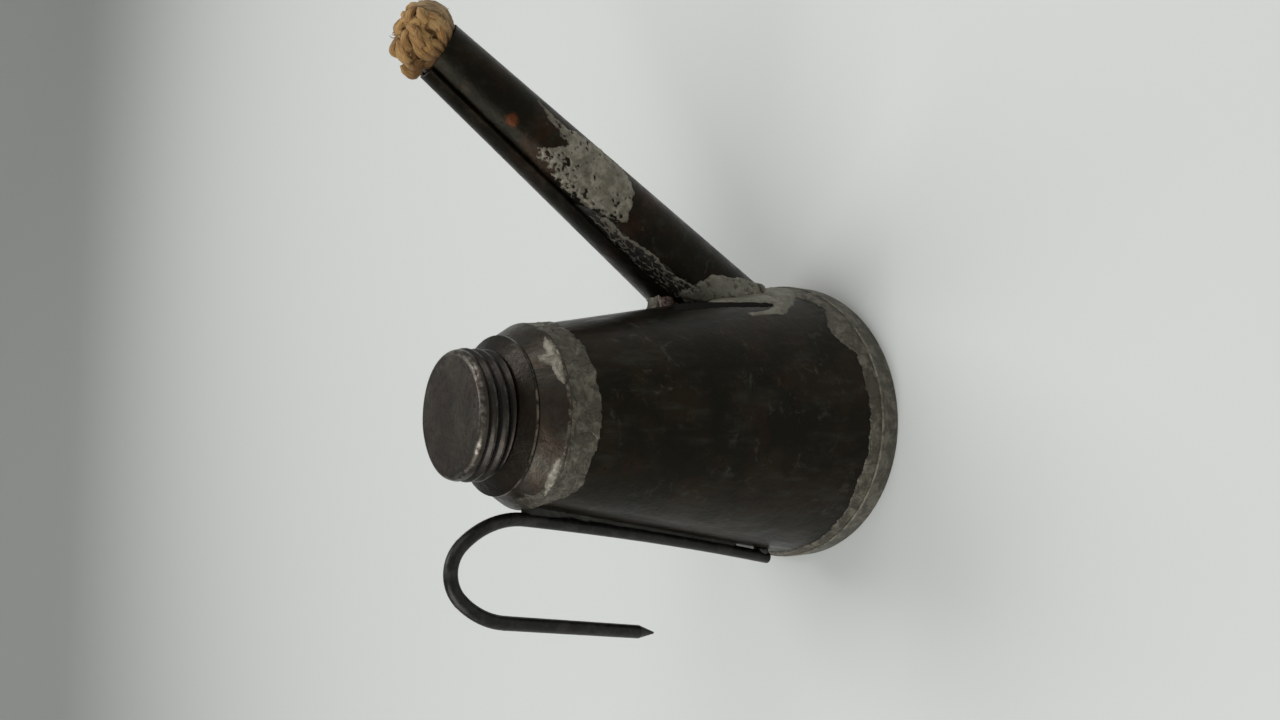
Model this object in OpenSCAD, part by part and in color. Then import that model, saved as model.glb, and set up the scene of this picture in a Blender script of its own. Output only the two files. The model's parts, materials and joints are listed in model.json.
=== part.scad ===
// Oil lamp for a soft cap: cone font, wick spout, screw filler cap and wire hook.
// The origin is the middle of the flat base, +Z is up, the spout points to +X and the hook to -X.

/* [Base] */
// Diameter of the base plate over its rim
base_d = 48; // [46:0.5:52]
// Height of the upturned rim
rim_h = 3.9; // [3.5:0.1:4.4]
// Rounding at the bottom and the top of the rim
rim_round = 0.22; // [0.1:0.02:0.24]
// Thickness of the tinplate
sheet = 0.5; // [0.4:0.05:0.6]
// Gap between sheets that are soldered together
sheet_fit = 0.05; // [0.02:0.01:0.1]

/* [Font] */
// Height of the cone's top edge
cone_top_z = 56.8; // [55:0.2:60]
// Outer radius of the cone at its top edge
cone_top_r = 12.74; // [12.3:0.04:13.1]
// Width of the cone's lap seam, as an angle
seam_angle = 12; // [8:1:16]
// Direction of the lap seam, seen from above
seam_azimuth = 110; // [90:5:130]
// Width of the solder along the lap seam, as an angle
seam_solder_angle = 4; // [3:0.5:6]

/* [Shoulder] */
// Height of the straight skirt that laps over the cone
shoulder_lap = 0.5; // [0.4:0.1:1]
// Height of the shoulder above the cone
dome_h = 3.6; // [3.4:0.1:4]
// Height of the straight side above the skirt's lower edge
shoulder_side = 0.2; // [0.1:0.1:0.5]
// Rounding between the side and the slope
shoulder_round = 0.5; // [0.3:0.1:0.8]
// Rise of the slope above level, in degrees
shoulder_slope = 57; // [54:1:60]
// Radius of the hole in the dome
dome_hole_r = 8.4; // [8.36:0.02:8.6]

/* [Filler neck] */
// Radius of the neck's bore
neck_bore_r = 7.5; // [6.8:0.05:7.6]
// Radius of the neck's plain part
neck_r = 8.3; // [8.2:0.01:8.32]
// Depth of the neck below the top of the dome
neck_spigot = 0.8; // [0.6:0.05:1.2]
// Distance of the sloping skirt's edge inside the shoulder's side
collar_inset = 2.09; // [1.6:0.01:2.5]
// Thickness of the sloping skirt
collar_sheet = 0.4; // [0.3:0.05:0.5]
// Fall of the sloping skirt, in degrees
collar_slope = 28; // [26:1:34]
// Gap under the skirt's edge, seen as a dark line
collar_gap = 0.3; // [0.2:0.02:0.5]

/* [Thread] */
// Rise of the thread in one turn
pitch = 1.6; // [1.4:0.05:1.7]
// Height of a ridge over the mean radius
ridge = 0.17; // [0.14:0.01:0.2]
// Mean radius of the neck's thread
thread_r = 8.47; // [8.42:0.01:8.55]
// Radial running clearance of the thread
thread_fit = 0.13; // [0.1:0.01:0.16]
// Turn of the ridge at height zero
thread_phase = 350; // [0:5:360]

/* [Cap] */
// Height of the cap
cap_h = 5.1; // [4.6:0.05:5.6]
// Gap between the cap's skirt and the collar
cap_seat_gap = 0.12; // [0.08:0.02:0.3]
// Thickness of the cap's skirt
cap_wall = 0.45; // [0.4:0.05:0.55]
// Thickness of the cap's top
cap_top = 0.55; // [0.45:0.05:0.7]
// Rounding of the cap's upper edge
cap_round = 0.9; // [0.6:0.05:1.0]
// Thickness of the cork washer
washer_t = 0.8; // [0.6:0.05:1]
// Clearance round, under and over the washer
washer_fit = 0.1; // [0.05:0.01:0.15]

/* [Spout] */
// Height of the spout's reference point, where its axis meets the cone
spout_z = 15.15; // [15:0.1:16.5]
// Distance of that point inside the cone's surface
spout_inset = 0.81; // [0.4:0.01:1.2]
// Rise of the spout above level, in degrees
spout_rise = 56.9; // [55:0.5:59]
// Length from the reference point to the tip
spout_len = 61.7; // [56:0.5:66]
// Outer radius at the reference point
spout_root_r = 7.2; // [6.8:0.05:7.4]
// Outer radius at the tip
spout_tip_r = 4.15; // [3.95:0.05:4.6]
// Thickness of the spout's tinplate
spout_sheet = 0.45; // [0.35:0.05:0.5]
// Slant of the cut at the tip, in degrees
tip_cut = 8; // [0:1:12]
// Gap left between the spout's root and the cone, at the reference point
root_gap = 1.0; // [0.6:0.05:1.2]
// Growth of that gap for each millimetre of height
root_flare = 0.05; // [0:0.01:0.08]
// How far the open lap is moved off the tube
lap_shift = 0.75; // [0.65:0.05:0.9]
// How much larger than the tube the lap is rolled
lap_grow = 0.2; // [0.15:0.05:0.25]
// Height of the open gap under the lap
lap_gap = 0.42; // [0.3:0.02:0.46]
// How far round the tube the open gap goes, in degrees
lap_gap_angle = 68; // [40:2:70]
// Direction in which the lap stands off, from the side facing the cap
lap_aim = -10; // [-20:2:0]
// Direction of the lap's free edge, from the side facing the cap
lap_edge = 13; // [8:1:20]

/* [Solder] */
// Thickness of the solder at the foot and below the shoulder
solder_t = 0.3; // [0.2:0.02:0.4]
// Thickness to which these bands thin out
solder_feather = 0.08; // [0.05:0.01:0.15]
// Height of the solder band above the rim
foot_band_h = 2.2; // [1.6:0.1:3]
// Height of the solder band below the shoulder
shoulder_band_h = 4.2; // [3.4:0.1:5]
// Width of the solder round the spout's root
root_fillet = 1.0; // [0.8:0.05:1.3]
// Thickness of the solder on the spout
spout_solder_t = 0.25; // [0.2:0.01:0.35]
// Height of the solder's foot between the spout and the rim
root_foot_z = 10.5; // [8:0.5:11]
// Spread of that foot round the lamp, in degrees
root_foot_spread = 34; // [20:1:40]
// Direction of that foot, seen from above
root_foot_azimuth = -20; // [-24:1:-10]
// Thickness of that foot
root_foot_t = 0.5; // [0.4:0.05:0.7]
// Depth of the cracked joint's lower end below the crotch
crack_h = 14.5; // [7:0.5:15]
// Distance up the spout to the lower end of the dribbled solder
dribble_z = 13; // [11:0.5:15]
// Length of the dribbled solder
dribble_len = 18; // [14:0.5:20]
// Width of the dribbled solder
dribble_w = 4.2; // [3:0.1:4.6]
// Direction of the dribbled solder, from the side facing the cap
dribble_aim = 35; // [32:1:38]
// Distance up the spout to the lower end of the patch
patch_z = 23; // [20:0.5:26]
// Length of the patch
patch_len = 22; // [18:0.5:24]
// Width of the patch
patch_w = 10.8; // [8:0.2:11]
// Direction of the patch, from the side facing the cap
patch_aim = 95; // [90:1:105]

/* [Bridge] */
// Width of the bridge in the crotch
bridge_w = 5.2; // [4:0.1:6]
// Height of the bridge
bridge_h = 3.9; // [3:0.1:4.4]
// Depth of the bridge's underside below the crotch
bridge_drop = 1.6; // [1:0.1:2]
// Reach of the bridge past the lamp's middle plane, away from the camera's side
bridge_side = 1.4; // [0:0.1:2]

/* [Hook] */
// Diameter of the hook's wire
wire_d = 1.95; // [1.8:0.05:2.1]
// Height of the wire's foot
hook_foot_z = 8.5; // [8:0.1:9]
// Gap between the wire's foot and the cone
hook_gap = 0.35; // [0.35:0.05:0.9]
// Gap between the wire and the shoulder's skirt
hook_top_gap = 0.36; // [0.3:0.02:0.8]
// Turn of the strand's slight bow towards the cone, in degrees
strand_bow = 4; // [3:0.2:4.2]
// Depth of the arch's first bend below the cone's top edge
hook_bend_drop = 0.6; // [0:0.1:4]
// Radius of the arch's first bend
bend_in_r = 12.6; // [11:0.2:14]
// Turn of the arch's first bend, in degrees
bend_in_turn = 49.2; // [45:0.1:53]
// Radius of the arch's crown
bend_top_r = 5; // [4:0.05:6]
// Turn of the arch's crown, in degrees
bend_top_turn = 92; // [84:0.5:96]
// Radius of the arch's last bend
bend_out_r = 11.6; // [11:0.2:14]
// Turn of the arch's last bend, in degrees
bend_out_turn = 37.5; // [36:0.1:44]
// Length of the free leg down to its point
leg_len = 23; // [20:0.2:25]
// Length of the ground point
point_len = 3.0; // [2:0.1:4]
// Flat left at the point
point_flat_d = 0.3; // [0.2:0.05:0.5]
// Height of the lower end of the solder web between wire and cone
web_z = 15.5; // [14:0.5:20]
// Width of the solder web
web_w = 1.7; // [1.4:0.1:2]
// Radius of the solder blob at the wire's foot
foot_blob_r = 1.25; // [1.1:0.05:1.4]

/* [Wick] */
// Diameter of the wick in the spout
wick_d = 6.6; // [6:0.1:6.8]
// Length that the wick stands out of the tip
tuft_len = 7.4; // [6.6:0.2:8.4]
// Diameter over the tuft
tuft_d = 10.6; // [10:0.2:12]
// Number of yarn loops round the tuft
tuft_loops = 8; // [6:1:10]
// Thickness of a loop where it bulges
loop_d = 2.8; // [2.4:0.1:3]
// Thickness of the yarn in the tip and at the loop's end
yarn_d = 2.0; // [1.8:0.1:2.2]
// Lean of a loop round the spout from its foot to its crown, in degrees
loop_lean = 30; // [20:2:36]
// Gap under the loops, above the spout's tip
tuft_gap = 0.5; // [0.4:0.05:0.8]
// Thickness of the stray curl
curl_d = 1.5; // [1.2:0.1:1.7]
// Reach of the stray curl beyond the lap
curl_reach = 2.1; // [1.6:0.1:2.4]
// Direction of the curl's foot round the spout, 180 facing the cap
curl_azimuth = 170; // [160:2:180]
// Lean of the curl, in degrees
curl_lean = 6; // [0:1:10]
// Diameter of one loose strand of the tail
strand_d = 2.2; // [1.8:0.1:2.2]
// Length of the tail that lies on the base plate
tail_len = 13; // [8:1:16]
// Height of the loose ends above the base plate
tail_gap = 0.4; // [0.3:0.05:0.8]

/* [Hidden] */
$fn = 72;
eps = 0.01;
// How far a cutting body runs past what it cuts
overrun = 6;
big = 200;

// Cone
base_r = base_d / 2;
rim_in_r = base_r - sheet;
foot_r = rim_in_r - sheet_fit;
foot_z = rim_h - 0.4;
cone_slope = (foot_r - cone_top_r) / (cone_top_z - foot_z);
cone_wall = sheet * sqrt(1 + cone_slope * cone_slope);
function cone_r(z) = foot_r - cone_slope * (z - foot_z);

// Shoulder
skirt_z = cone_top_z - shoulder_lap;
skirt_in_r = cone_r(skirt_z) + sheet_fit;
skirt_r = skirt_in_r + sheet;
dome_top_z = cone_top_z + dome_h;
collar_r = skirt_r - collar_inset;
slope_r = skirt_r - shoulder_round * (1 - sin(shoulder_slope));
slope_z = skirt_z + shoulder_side + shoulder_round * cos(shoulder_slope);
// Height at which the slope passes under the collar's edge and turns into the flat dome
crease_z = slope_z + (slope_r - collar_r) * tan(shoulder_slope);
dome_rise = dome_top_z - crease_z;
function dome_z(r) = crease_z + dome_rise * sqrt(1 - pow((r - dome_hole_r) / (collar_r - dome_hole_r), 2));

// Neck and its sloping skirt
collar_edge_z = dome_z(collar_r) + collar_gap;
function collar_under_z(r) = collar_edge_z + (collar_r - r) * tan(collar_slope);
function collar_top_z(r) = collar_under_z(r) + collar_sheet / cos(collar_slope);

// Cap
cap_in_r = thread_r + thread_fit;
cap_out_r = cap_in_r + cap_wall;
cap_skirt_z = collar_top_z(cap_in_r - ridge) + cap_seat_gap;
cap_top_z = cap_skirt_z + cap_h;
cap_ceiling_z = cap_top_z - cap_top;
washer_z = cap_ceiling_z - washer_fit - washer_t;
washer_r = cap_in_r - ridge - washer_fit;
neck_top_z = washer_z - washer_fit;
fade_z = 0.5;

// Spout: in its own frame Z runs along the tube and -X faces the cap
spout_x = cone_r(spout_z) - spout_inset;
rise_sin = sin(spout_rise);
rise_cos = cos(spout_rise);
taper = (spout_root_r - spout_tip_r) / spout_len;
tube_back = spout_z / rise_sin + spout_root_r / 2;
function spout_r(t) = spout_root_r - taper * t;
// Distance along the spout at which its upper side meets the cone
crotch_t = (spout_inset + spout_root_r * (rise_sin - cone_slope * rise_cos))
    / (rise_cos + taper * rise_sin + cone_slope * (rise_sin - taper * rise_cos));
crotch_z = spout_z + crotch_t * rise_sin + spout_r(crotch_t) * rise_cos;

// Hook
hook_foot_x = cone_r(hook_foot_z) + hook_gap + wire_d / 2;
hook_side_x = skirt_r + hook_top_gap + wire_d / 2;
strand_h = cone_top_z - hook_bend_drop - hook_foot_z;
strand_lean = atan((hook_foot_x - hook_side_x) / strand_h);
bow_r = strand_h / cos(strand_lean) / (2 * sin(strand_bow / 2));
bow_depth = bow_r * (1 - cos(strand_bow / 2));
// Distance of the strand's middle line from the lamp's axis
function strand_x(z) =
    let (share = (z - hook_foot_z) / strand_h)
    hook_foot_x - (z - hook_foot_z) * tan(strand_lean) - 4 * bow_depth * share * (1 - share);
joint_len = wire_d * 0.15;
joint_over = wire_d * 0.015;

// Wick
core_back = 10;
strand_knot = 0.12;
tail_end_z = sheet + tail_gap + strand_d / 2;
core_end_z = spout_z - core_back * rise_sin;
tail_bend_r = (core_end_z - tail_end_z) / (1 - rise_cos);

// Points of an arc about a centre, from one angle to another
function arc_points(c, r, a0, a1, n = 5) =
    [for (i = [0:n]) let (a = a0 + (a1 - a0) * i / n) c + r * [cos(a), sin(a)]];

// Solid cone under the font's outer surface, grown outwards, and by flare for each millimetre above the spout
module cone_solid(grow, z0, z1, flare = 0) {
    r0 = cone_r(z0) + grow + flare * (z0 - spout_z);
    r1 = cone_r(z1) + grow + flare * (z1 - spout_z);
    translate([0, 0, z0])
    cylinder(h = z1 - z0, r1 = r0, r2 = r1, $fn = 144);
}

// Wedge that opens from the lamp's axis about one direction
module wedge(azimuth, angle, top = big) {
    rotate([0, 0, azimuth - angle / 2])
    rotate_extrude(angle = angle)
    square([big, top]);
}

// Puts things in the spout's own frame
module along_spout() {
    translate([spout_x, 0, spout_z])
    rotate([0, 90 - spout_rise, 0])
    children();
}

// Solid taper under the spout's outer surface, grown outwards
module spout_solid(grow, t0 = -tube_back, t1 = spout_len + overrun - 1) {
    translate([0, 0, t0])
    cylinder(h = t1 - t0, r1 = spout_r(t0) + grow, r2 = spout_r(t1) + grow);
}

// Everything above the spout's slanted cut
module beyond_tip() {
    translate([0, 0, spout_len])
    rotate([0, -tip_cut, 0])
    translate([-big / 2, -big / 2, 0])
    cube(big);
}

// Flat outline pushed out of the spout's side: X is round the tube, Y is along it
module off_spout(direction) {
    rotate([0, 0, 180 + direction])
    rotate([90, 0, 90])
    linear_extrude(big / 10)
    children();
}

// Round rod whose surface carries one thread ridge, with an optional rounded upper edge
module threaded_rod(r, z0, z1, edge = 0, flat_top = false) {
    columns = 48;
    step = pitch / 10;
    body_top = z1 - edge;
    rows = ceil((body_top - z0) / step);
    heights = [for (i = [0:rows]) z0 + (body_top - z0) * i / rows];
    ring_r = [for (z = heights) r];
    round_steps = edge > 0 ? 5 : 0;
    all_z = concat(heights, [for (i = [1:1:round_steps]) body_top + edge * sin(90 * i / round_steps)]);
    all_r = concat(ring_r, [for (i = [1:1:round_steps]) r - edge * (1 - cos(90 * i / round_steps))]);
    count = len(all_z);
    points = [
        for (k = [0:count - 1])
        for (j = [0:columns - 1])
        let (a = 360 * j / columns)
        let (fade = flat_top ? min(1, max(0, (body_top - all_z[k]) / fade_z)) : 1)
        let (rr = all_r[k] + ridge * fade * cos(a - 360 * all_z[k] / pitch - thread_phase))
        [rr * cos(a), rr * sin(a), all_z[k]]
    ];
    sides = [
        for (k = [0:count - 2])
        for (j = [0:columns - 1])
        let (n = (j + 1) % columns)
        each [
            [k * columns + j, (k + 1) * columns + j, (k + 1) * columns + n],
            [k * columns + j, (k + 1) * columns + n, k * columns + n]
        ]
    ];
    bottom = [for (j = [0:columns - 1]) j];
    top = [for (j = [columns - 1:-1:0]) (count - 1) * columns + j];
    polyhedron(points, concat([bottom], sides, [top]), convexity = 6);
}

module base_plate() {
    color("dimgray")
    rotate_extrude($fn = 144)
    polygon(concat(
        [[0, 0]],
        arc_points([base_r - rim_round, rim_round], rim_round, -90, 0),
        arc_points([base_r - rim_round, rim_h - rim_round], rim_round, 0, 90),
        [[rim_in_r, rim_h], [rim_in_r, sheet], [0, sheet]]
    ));
}

// Ring of solder on the cone that thins out from one height to another
module solder_band(z_thick, z_thin, inside = 0) {
    rotate_extrude($fn = 144)
    polygon([
        [cone_r(z_thick) - inside, z_thick],
        [cone_r(z_thick) + solder_t, z_thick],
        [cone_r(z_thin) + solder_feather, z_thin],
        [cone_r(z_thin) - inside, z_thin]
    ]);
}

module base_solder() {
    color("darkgray")
    solder_band(rim_h, rim_h + foot_band_h);
}

module font_body() {
    color([0.2, 0.19, 0.17])
    union() {
        difference() {
            rotate_extrude($fn = 144)
            polygon([
                [foot_r, sheet],
                [foot_r, foot_z],
                [cone_top_r, cone_top_z],
                [cone_top_r - cone_wall, cone_top_z],
                [foot_r - cone_wall, foot_z],
                [foot_r - cone_wall, sheet]
            ]);
            along_spout() spout_solid(-spout_sheet, -core_back, spout_len / 2);
        }
        intersection() {
            difference() {
                cone_solid(sheet, rim_h + foot_band_h, skirt_z - shoulder_band_h);
                cone_solid(-cone_wall / 2, rim_h, skirt_z);
            }
            wedge(seam_azimuth, seam_angle);
        }
    }
}

module body_seam_solder() {
    color("silver")
    intersection() {
        difference() {
            cone_solid(solder_t, rim_h + foot_band_h, skirt_z - shoulder_band_h);
            cone_solid(0, rim_h, skirt_z);
        }
        wedge(seam_azimuth - (seam_angle + seam_solder_angle) / 2, seam_solder_angle);
    }
}

// Quarter of an ellipse over the dome's hole, from its foot to its top
function dome_points(reach, foot_z, steps = 8) =
    [for (i = [0:steps]) let (a = 90 * i / steps) [dome_hole_r + reach * cos(a), foot_z + dome_rise * sin(a)]];

module shoulder() {
    in_reach = collar_r - dome_hole_r - sheet + sheet / tan(shoulder_slope);
    inner = dome_points(in_reach, crease_z - sheet);
    color([0.34, 0.31, 0.27])
    rotate_extrude($fn = 144)
    polygon(concat(
        [[skirt_in_r, skirt_z], [skirt_r, skirt_z]],
        arc_points([skirt_r - shoulder_round, skirt_z + shoulder_side], shoulder_round, 0, 90 - shoulder_slope),
        dome_points(collar_r - dome_hole_r, crease_z),
        [for (i = [len(inner) - 1:-1:0]) inner[i]],
        [[slope_r - sheet, slope_z]]
    ));
}

module shoulder_solder() {
    color("darkgray")
    solder_band(skirt_z, skirt_z - shoulder_band_h);
}

module neck_collar() {
    neck_foot_z = dome_top_z - neck_spigot;
    neck_core_r = neck_bore_r - 1;
    color([0.33, 0.24, 0.18])
    difference() {
        union() {
            threaded_rod(thread_r, collar_top_z(thread_r) - collar_sheet, neck_top_z);
            rotate_extrude($fn = 144)
            polygon([
                [neck_core_r, neck_foot_z],
                [neck_r, neck_foot_z],
                [neck_r, collar_under_z(neck_r)],
                [collar_r, collar_edge_z],
                [collar_r, collar_top_z(collar_r)],
                [neck_r, collar_top_z(neck_r)],
                [neck_core_r, collar_top_z(neck_r)]
            ]);
        }
        translate([0, 0, neck_foot_z - 1])
        cylinder(h = neck_top_z - neck_foot_z + 2, r = neck_bore_r, $fn = 144);
    }
}

module neck_solder() {
    ring_r = collar_r - 1.1;
    steps = 6;
    color("silver")
    rotate_extrude($fn = 144)
    polygon(concat(
        [for (i = [0:steps]) let (r = dome_hole_r + (ring_r - dome_hole_r) * i / steps) [r, dome_z(r)]],
        [[ring_r, collar_under_z(ring_r)], [neck_r, collar_under_z(neck_r)], [neck_r, dome_z(dome_hole_r)]]
    ));
}

module screw_cap() {
    color([0.3, 0.27, 0.25])
    difference() {
        threaded_rod(cap_out_r, cap_skirt_z, cap_top_z, cap_round, true);
        threaded_rod(cap_in_r, cap_skirt_z - 1, cap_ceiling_z, 0, true);
    }
}

module cap_washer() {
    color("peru")
    translate([0, 0, washer_z])
    cylinder(h = washer_t, r = washer_r);
}

// Half of space on the back of a plane through the spout's axis
module behind_edge(direction) {
    rotate([0, 0, 180 + direction])
    translate([-big / 2, -big, -big / 2])
    cube(big);
}

// Outer layer of the spout's sheet, rolled off centre so that its free edge stands open
module spout_lap() {
    difference() {
        intersection() {
            translate(lap_shift * [-cos(lap_aim), -sin(lap_aim), 0])
            spout_solid(lap_grow);
            behind_edge(lap_edge);
        }
        difference() {
            spout_solid(lap_gap, -tube_back - 1, spout_len + overrun);
            behind_edge(lap_edge - lap_gap_angle);
        }
    }
}

module spout_tube() {
    color([0.22, 0.2, 0.18])
    difference() {
        along_spout()
        difference() {
            union() {
                spout_solid(0);
                spout_lap();
            }
            spout_solid(-spout_sheet, -tube_back - 1, spout_len + overrun);
            beyond_tip();
        }
        cone_solid(root_gap, -2 * spout_root_r, cone_top_z, root_flare);
    }
}

// Solder round the root and down to the rim, open where its joint has cracked
module spout_root_solder() {
    color("darkgray")
    difference() {
        union() {
            intersection() {
                cone_solid(root_gap + root_fillet, rim_h, cone_top_z, root_flare);
                along_spout() spout_solid(root_fillet, -tube_back, spout_len / 2);
            }
            intersection() {
                cone_solid(root_foot_t, rim_h + foot_band_h, root_foot_z);
                wedge(root_foot_azimuth, root_foot_spread);
            }
        }
        cone_solid(0, 0, cone_top_z + 1);
        solder_band(rim_h, rim_h + foot_band_h, sheet);
        spout_tube();
        bridge_block();
        along_spout() spout_solid(-spout_sheet);
        translate([0, -big - eps, crotch_z - crack_h]) cube(big);
        translate([0, -big / 2, crotch_z - bridge_drop + bridge_h]) cube(big);
    }
}

// Skin of solder on the spout with an outline given in shares of its width and length
module spout_skin(aim, z, w, l, outline) {
    difference() {
        intersection() {
            spout_solid(spout_solder_t);
            off_spout(aim)
            polygon([for (p = outline) [w * p[0], z + l * p[1]]]);
        }
        spout_solid(0);
    }
}

module spout_seam_solder() {
    outline = [
        [-0.29, 0.22], [0.43, 0], [0.71, 0.17], [0.5, 0.5], [0.3, 0.75], [0.15, 1], [-0.29, 1], [-0.1, 0.61]
    ];
    color("silver")
    along_spout()
    difference() {
        spout_skin(dribble_aim, dribble_z, dribble_w, dribble_len, outline);
        patch_skin();
    }
}

module patch_skin() {
    outline = [
        [-0.37, 0.09], [-0.09, 0], [0.28, 0.05], [0.48, 0.18], [0.52, 0.68],
        [0.28, 0.86], [-0.09, 0.82], [-0.28, 1], [-0.46, 0.82], [-0.48, 0.41]
    ];
    spout_skin(patch_aim, patch_z, patch_w, patch_len, outline);
}

module spout_patch_solder() {
    color("lightgray")
    along_spout()
    patch_skin();
}

// Block from which the bridge is cut
module bridge_block() {
    translate([0, bridge_side - bridge_w, crotch_z - bridge_drop])
    cube([spout_x + spout_root_r / 2, bridge_w, bridge_h]);
}

module spout_bridge() {
    color([0.55, 0.36, 0.3])
    difference() {
        bridge_block();
        cone_solid(0, 0, cone_top_z);
        along_spout() spout_solid(0);
        along_spout() spout_lap();
    }
}

// Bent part of a wire that starts along Z and turns towards +X, with what follows it
module wire_bend(r, turn, facets = 72) {
    translate([r, 0, 0])
    rotate([90, 0, 180])
    rotate_extrude(angle = turn, $fn = facets)
    translate([r, 0])
    circle(d = wire_d, $fn = 72);
    translate([r * (1 - cos(turn)), 0, r * sin(turn)])
    rotate([0, turn, 0])
    children();
}

// Hair-thin sleeve that closes the joint between two stretches of the wire
module wire_joint() {
    translate([0, 0, -joint_len / 2])
    cylinder(h = joint_len, d = wire_d + joint_over);
}

// Puts things at the wire's foot, with Z along the wire
module at_hook_foot() {
    translate([-hook_foot_x, 0, hook_foot_z])
    rotate([0, strand_lean + strand_bow / 2, 0])
    rotate([0, 0, 180])
    children();
}

module hook_wire() {
    color([0.14, 0.14, 0.15])
    at_hook_foot()
    wire_bend(bow_r, strand_bow, 720) {
        wire_joint();
        wire_bend(bend_in_r, bend_in_turn) {
            wire_joint();
            wire_bend(bend_top_r, bend_top_turn) {
                wire_joint();
                wire_bend(bend_out_r, bend_out_turn) {
                    wire_joint();
                    hook_leg();
                }
            }
        }
    }
}

// Free leg of the hook with its ground point
module hook_leg() {
    rotate_extrude()
    polygon([
        [0, 0],
        [wire_d / 2, 0],
        [wire_d / 2, leg_len],
        [point_flat_d / 2, leg_len + point_len],
        [0, leg_len + point_len]
    ]);
}

// Web of solder between the cone and the wire's inner side, up to the solder below the shoulder
module hook_top_solder() {
    steps = 6;
    web_h = skirt_z - shoulder_band_h - web_z;
    inner_side = wire_d / 2 + 2 * eps;
    color("gray")
    difference() {
        rotate([90, 0, 0])
        translate([0, 0, -web_w / 2])
        linear_extrude(web_w)
        polygon(concat(
            [for (i = [0:steps]) let (z = web_z + web_h * i / steps) [inner_side - strand_x(z), z]],
            [[sheet - cone_r(web_z + web_h), web_z + web_h], [sheet - cone_r(web_z), web_z]]
        ));
        cone_solid(0, 0, cone_top_z);
    }
}

module hook_foot_solder() {
    color("gray")
    difference() {
        translate([-cone_r(hook_foot_z + foot_blob_r) - hook_gap / 2, 0, hook_foot_z + foot_blob_r])
        sphere(r = foot_blob_r, $fn = 32);
        cone_solid(0, 0, cone_top_z);
        at_hook_foot() cylinder(h = 4 * foot_blob_r, d = wire_d + 2 * eps);
    }
}

module wick_core() {
    color("tan")
    along_spout()
    translate([0, 0, -core_back])
    cylinder(h = core_back + spout_len, d = wick_d);
}

// Loose strands that bend down to the base plate and lie along it
module wick_tail() {
    color("tan")
    translate([spout_x - core_back * rise_cos, 0, core_end_z])
    for (i = [-1:1])
    translate([0, i * (strand_d + strand_knot + eps), 0])
    rotate([0, 270 - spout_rise, 0])
    tail_strand(i);
}

module tail_strand(i) {
    splay = 14;
    translate([tail_bend_r, 0, 0])
    rotate([90, 0, 180])
    rotate_extrude(angle = spout_rise)
    translate([tail_bend_r, 0])
    circle(d = strand_d);
    translate([tail_bend_r * (1 - rise_cos), 0, tail_bend_r * rise_sin])
    rotate([0, spout_rise, 0]) {
        sphere(d = strand_d + strand_knot);
        rotate([-i * splay, 0, 0])
        cylinder(h = tail_len, d = strand_d);
    }
}

// Strand through a list of points, each [distance from the axis, height, thickness], that leans as it rises
module yarn(azimuth, lean, stations) {
    last = len(stations) - 1;
    for (i = [0:last - 1])
    hull() {
        for (j = [i, i + 1])
        rotate([0, 0, azimuth + lean * j / last])
        translate([stations[j][0], 0, stations[j][1]])
        sphere(d = stations[j][2], $fn = 14);
    }
}

module wick_tuft() {
    bulge_r = (tuft_d - loop_d) / 2;
    bulge_z = tuft_gap + loop_d / 2;
    throat_r = bulge_r - loop_d * 0.6;
    throat_z = tuft_gap + yarn_d / 2;
    crown_z = tuft_len - loop_d / 2;
    curl_out_r = spout_tip_r + lap_shift + lap_grow + curl_reach - curl_d / 2;
    color("burlywood")
    along_spout()
    translate([0, 0, spout_len]) {
        cylinder(h = throat_z, d = wick_d);
        translate([0, 0, throat_z])
        cylinder(h = crown_z - throat_z, r1 = bulge_r - 0.1, r2 = bulge_r - loop_d / 2);
        translate([0, 0, crown_z])
        sphere(d = loop_d, $fn = 20);
        rotate([0, -tip_cut, 0]) {
            for (i = [0:tuft_loops - 1])
            yarn(360 * i / tuft_loops, loop_lean, [
                [throat_r, throat_z, yarn_d],
                [bulge_r, bulge_z, loop_d],
                [bulge_r - 0.5, bulge_z + loop_d / 2 + 0.3 * (i % 2), loop_d],
                [bulge_r / 2, crown_z, loop_d]
            ]);
            yarn(curl_azimuth, curl_lean, [
                [throat_r, bulge_z, yarn_d],
                [curl_out_r - curl_d * 0.7, tuft_gap + curl_d / 2, curl_d],
                [curl_out_r, tuft_gap + curl_d * 0.8, curl_d],
                [curl_out_r, tuft_gap + curl_d * 1.5, curl_d * 0.8]
            ]);
        }
    }
}

base_plate();
base_solder();
font_body();
body_seam_solder();
shoulder();
shoulder_solder();
neck_collar();
neck_solder();
screw_cap();
cap_washer();
spout_tube();
spout_root_solder();
spout_seam_solder();
spout_patch_solder();
spout_bridge();
hook_wire();
hook_top_solder();
hook_foot_solder();
wick_core();
wick_tail();
wick_tuft();
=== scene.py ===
import json
import math
import bpy
import numpy as np
from mathutils import Matrix, Vector, noise


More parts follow.
